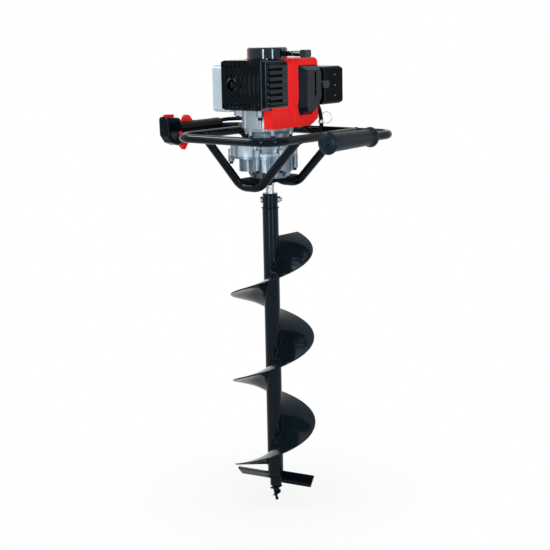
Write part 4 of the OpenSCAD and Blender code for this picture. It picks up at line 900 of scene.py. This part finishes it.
class AUGER_OT_cords(bpy.types.Operator):
    """Makes the conduit, the fuel hose, the ignition lead, the starter rope and the wire clip"""
    bl_idname = "auger.cords"
    bl_label = "Cords"

    def execute(self, context):
        s = sizes()
        for name, node, route, radius in (("cable_conduit", "throttle_cable", CABLE_ROUTE, s.cable_radius),
                                          ("fuel_line", "fuel_hose", HOSE_ROUTE, s.hose_radius)):
            built(name, cord(route, radius, 20), "machine", SLOT_OF[node], [node], 60.0)
        self.ignition_lead()
        self.rope()
        self.wire_clip()
        return {"FINISHED"}

    def ignition_lead(self):
        """The boot on the spark plug and the lead to the coil"""
        tilt = math.radians(PLUG_TILT)
        inward = Vector((math.sin(tilt), math.cos(tilt), 0))
        tip = Vector(PLUG_SEAT) * MM - inward * PLUG_REACH
        boot = lathe([(0.0, 0.0), (0.0062, 0.0), (0.0079, 0.0010), (0.0085, 0.0028), (0.0085, 0.0214),
                      (0.0078, 0.0228), (0.0051, 0.0228), (0.0051, 0.0110)], tip, inward, 40)
        lead = cord(LEAD_ROUTE, sizes().lead_radius, 18)
        built("ignition_lead", merged([boot, lead]), "machine", SLOT_OF["plug_lead"], ["plug_lead"], 45.0)

    def rope(self):
        """Three twisted strands between the starter housing and its grip"""
        lo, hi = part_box("starter_rope")
        y, z = (lo.y + hi.y) / 2, (lo.z + hi.z) / 2
        count, strands, lay = 160, 3, 0.012
        offset, strand = 0.48 * sizes().rope_radius, 0.52 * sizes().rope_radius
        parts = []
        for k in range(strands):
            route = []
            for i in range(count + 1):
                x = lo.x + (hi.x - lo.x) * i / count
                a = 2 * math.pi * (k / strands + (x - lo.x) / lay)
                route.append(Vector((x, y + offset * math.cos(a), z + offset * math.sin(a))))
            parts.append(tube(route, strand, 10))
        mesh = closed_mesh("rope_strands", *merged(parts))
        for polygon in mesh.polygons:
            polygon.use_smooth = True
        mesh.materials.append(finish(SLOT_OF["starter_rope"]))
        piece = bpy.data.objects.new("rope_strands", mesh)
        bpy.context.scene.collection.objects.link(piece)
        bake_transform(piece)
        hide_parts("starter_rope")

    def wire_clip(self):
        """A wire ring that hangs on the conduit, behind it, in a small clip"""
        hook = Vector((56.0, 126.5, 938.0)) * MM
        right, back, up = Vector((0.766, 0.643, 0)), Vector((-0.643, 0.766, 0)), Vector((0, 0, 1))
        middle = hook + right * 0.0146
        wide, high, behind = 0.0123, 0.0135, 0.0066
        ring = [middle + right * wide * math.cos(a) + up * high * math.sin(a)
                + back * (behind * (1 - math.cos(a)) / 2) for a in even_turns(56)]
        wire = tube(ring, 0.0008, 10, loop=True)
        low, top = Vector((56.8, 127.5, 925.0)) * MM, Vector((56.3, 127.0, 933.0)) * MM
        clip = lathe([(0.0, 0.0), (0.0056, 0.0), (0.0063, 0.0007), (0.0063, 0.0073), (0.0056, 0.0080),
                      (0.0, 0.0080)], low, top - low, 32)
        built("wire_clip", merged([wire, clip]), "machine", "steel", smooth_angle=40.0)


def seen_directly(tree):
    """1 for the rays that show the white background: camera, glossy and transmission."""
    path = tree.nodes.new("ShaderNodeLightPath")
    seen = math_node(tree, "MAXIMUM", path.outputs["Is Camera Ray"], path.outputs["Is Glossy Ray"])
    return math_node(tree, "MAXIMUM", seen, path.outputs["Is Transmission Ray"])


def close_shader(tree, output, share, first, second):
    """Mixes two shaders into the output, with a share of the second."""
    blend = tree.nodes.new("ShaderNodeMixShader")
    tree.links.new(share, blend.inputs[0])
    tree.links.new(first.outputs[0], blend.inputs[1])
    tree.links.new(second.outputs[0], blend.inputs[2])
    tree.links.new(blend.outputs[0], tree.nodes.new(output).inputs[0])


class AUGER_OT_stage(bpy.types.Operator):
    """Makes the floor, the light and the camera"""
    bl_idname = "auger.stage"
    bl_label = "Studio"

    def execute(self, context):
        self.floor()
        self.world()
        self.lamps()
        self.camera()
        context.scene.view_settings.view_transform = "Standard"
        return {"FINISHED"}

    def floor(self):
        """A pale floor that fades to white away from the object's shadow"""
        reach, gap = 9.0, 0.0004
        mesh = bpy.data.meshes.new("floor")
        corners = [(-reach, -reach, 0), (reach, -reach, 0), (reach, reach, 0), (-reach, reach, 0)]
        mesh.from_pydata(corners, [], [(0, 1, 2, 3)])
        obj = bpy.data.objects.new("floor", mesh)
        bpy.context.scene.collection.objects.link(obj)
        obj.location.z = CAD_BOX[0][2] - gap
        material = bpy.data.materials.new("pale_floor")
        material.use_nodes = True
        tree = material.node_tree
        tree.nodes.clear()
        matt = tree.nodes.new("ShaderNodeBsdfDiffuse")
        matt.inputs["Color"].default_value = (0.86, 0.86, 0.86, 1)
        glow = tree.nodes.new("ShaderNodeEmission")
        glow.inputs["Color"].default_value = (1, 1, 1, 1)
        away = tree.nodes.new("ShaderNodeVectorMath")
        away.operation = "LENGTH"
        tree.links.new(tree.nodes.new("ShaderNodeTexCoord").outputs["Object"], away.inputs[0])
        fade = remap(tree, away.outputs["Value"], 0.84, 1.0, 0.14, 0.50)
        share = math_node(tree, "MULTIPLY", seen_directly(tree), fade)
        close_shader(tree, "ShaderNodeOutputMaterial", share, matt, glow)
        mesh.materials.append(material)

    def world(self):
        """Soft fill light, with white where it is seen"""
        world = bpy.data.worlds.new("studio")
        bpy.context.scene.world = world
        world.use_nodes = True
        tree = world.node_tree
        tree.nodes.clear()
        shaders = []
        for rgb, strength in (((0.95, 0.97, 1.0), 0.55), ((1.0, 1.0, 1.0), 1.0)):
            node = tree.nodes.new("ShaderNodeBackground")
            node.inputs["Color"].default_value = (*rgb, 1)
            node.inputs["Strength"].default_value = strength
            shaders.append(node)
        close_shader(tree, "ShaderNodeOutputWorld", seen_directly(tree), *shaders)

    def lamps(self):
        """Strip lamps by name, place, width, height and power; the tall ones stand upright"""
        target = Vector((0, 0, 0.75))
        upright_above = 1.5
        reflected_only = ("tube_streak",)
        strips = (("front", (0.88, -2.87, 0.95), 0.50, 1.7, 24),
                  ("right", (2.82, -1.03, 0.95), 0.45, 1.7, 18),
                  ("left", (-1.95, -2.28, 2.2), 0.30, 1.0, 11),
                  ("rear", (2.10, 2.08, 1.05), 0.45, 1.2, 6),
                  ("top", (0.5, -0.6, 3.4), 2.4, 0.50, 20),
                  ("front_glint", (0.80, -2.60, 1.0), 0.10, 0.5, 11),
                  ("right_glint", (2.54, -0.93, 1.0), 0.10, 0.5, 8),
                  ("tube_streak", (-1.9, -0.95, 3.1), 1.6, 0.6, 60))
        for name, place, wide, high, power in strips:
            lamp = bpy.data.lights.new(name, "AREA")
            lamp.shape = "RECTANGLE"
            lamp.size, lamp.size_y = wide, high
            lamp.energy = power
            obj = bpy.data.objects.new(name, lamp)
            obj.location = place
            obj.visible_diffuse = name not in reflected_only
            aim = target - Vector(place)
            if high > upright_above:
                aim.z = 0.0
            obj.rotation_euler = aim.to_track_quat("-Z", "Y").to_euler()
            bpy.context.scene.collection.objects.link(obj)

    def camera(self):
        """The photograph's viewing angle, worked out for a picture 550 pixels wide"""
        azimuth, pitch, roll = math.radians(39.85), math.radians(11.3), math.radians(1.15)
        stand, distance, height = math.radians(40.0), 3.0, 1.169
        sensor, focal_pixels, picture_pixels = 36.0, 1277, 550
        data = bpy.data.cameras.new("camera")
        data.sensor_width = sensor
        data.lens = sensor * focal_pixels / picture_pixels
        obj = bpy.data.objects.new("camera", data)
        level = math.cos(pitch)
        forward = Vector((-math.sin(azimuth) * level, math.cos(azimuth) * level, -math.sin(pitch)))
        right = forward.cross(Vector((0, 0, 1))).normalized()
        up = right.cross(forward)
        tilted_up = up * math.cos(roll) + right * math.sin(roll)
        tilted_right = right * math.cos(roll) - up * math.sin(roll)
        turn = Matrix((tilted_right, tilted_up, -forward)).transposed()
        place = Matrix.Translation((distance * math.sin(stand), -distance * math.cos(stand), height))
        obj.matrix_world = place @ turn.to_4x4()
        bpy.context.scene.collection.objects.link(obj)
        bpy.context.scene.camera = obj


class AUGER_PT_panel(bpy.types.Panel):
    """Lists the steps, the sizes and the colours"""
    bl_idname = "AUGER_PT_panel"
    bl_label = "Earth auger"
    bl_space_type = "VIEW_3D"
    bl_region_type = "UI"
    bl_category = "Earth auger"

    def draw(self, context):
        for operator in STEPS:
            self.layout.operator(operator.bl_idname)
        for group in (context.scene.auger_sizes, context.scene.auger_colours):
            for name in group.__annotations__:
                self.layout.prop(group, name)


STEPS = (AUGER_OT_stage, AUGER_OT_finishes, AUGER_OT_cords, AUGER_OT_bit, AUGER_OT_frame, AUGER_OT_grip,
         AUGER_OT_handle, AUGER_OT_engine, AUGER_OT_gearbox)
CLASSES = (AugerColours, AugerSizes, *STEPS, AUGER_PT_panel)


def register():
    for cls in CLASSES:
        bpy.utils.register_class(cls)
    bpy.types.Scene.auger_colours = PointerProperty(type=AugerColours)
    bpy.types.Scene.auger_sizes = PointerProperty(type=AugerSizes)


def unregister():
    del bpy.types.Scene.auger_sizes
    del bpy.types.Scene.auger_colours
    for cls in reversed(CLASSES):
        bpy.utils.unregister_class(cls)


def main():
    register()
    for step in STEPS:
        group, name = step.bl_idname.split(".")
        getattr(getattr(bpy.ops, group), name)()


if __name__ == "__main__":
    main()
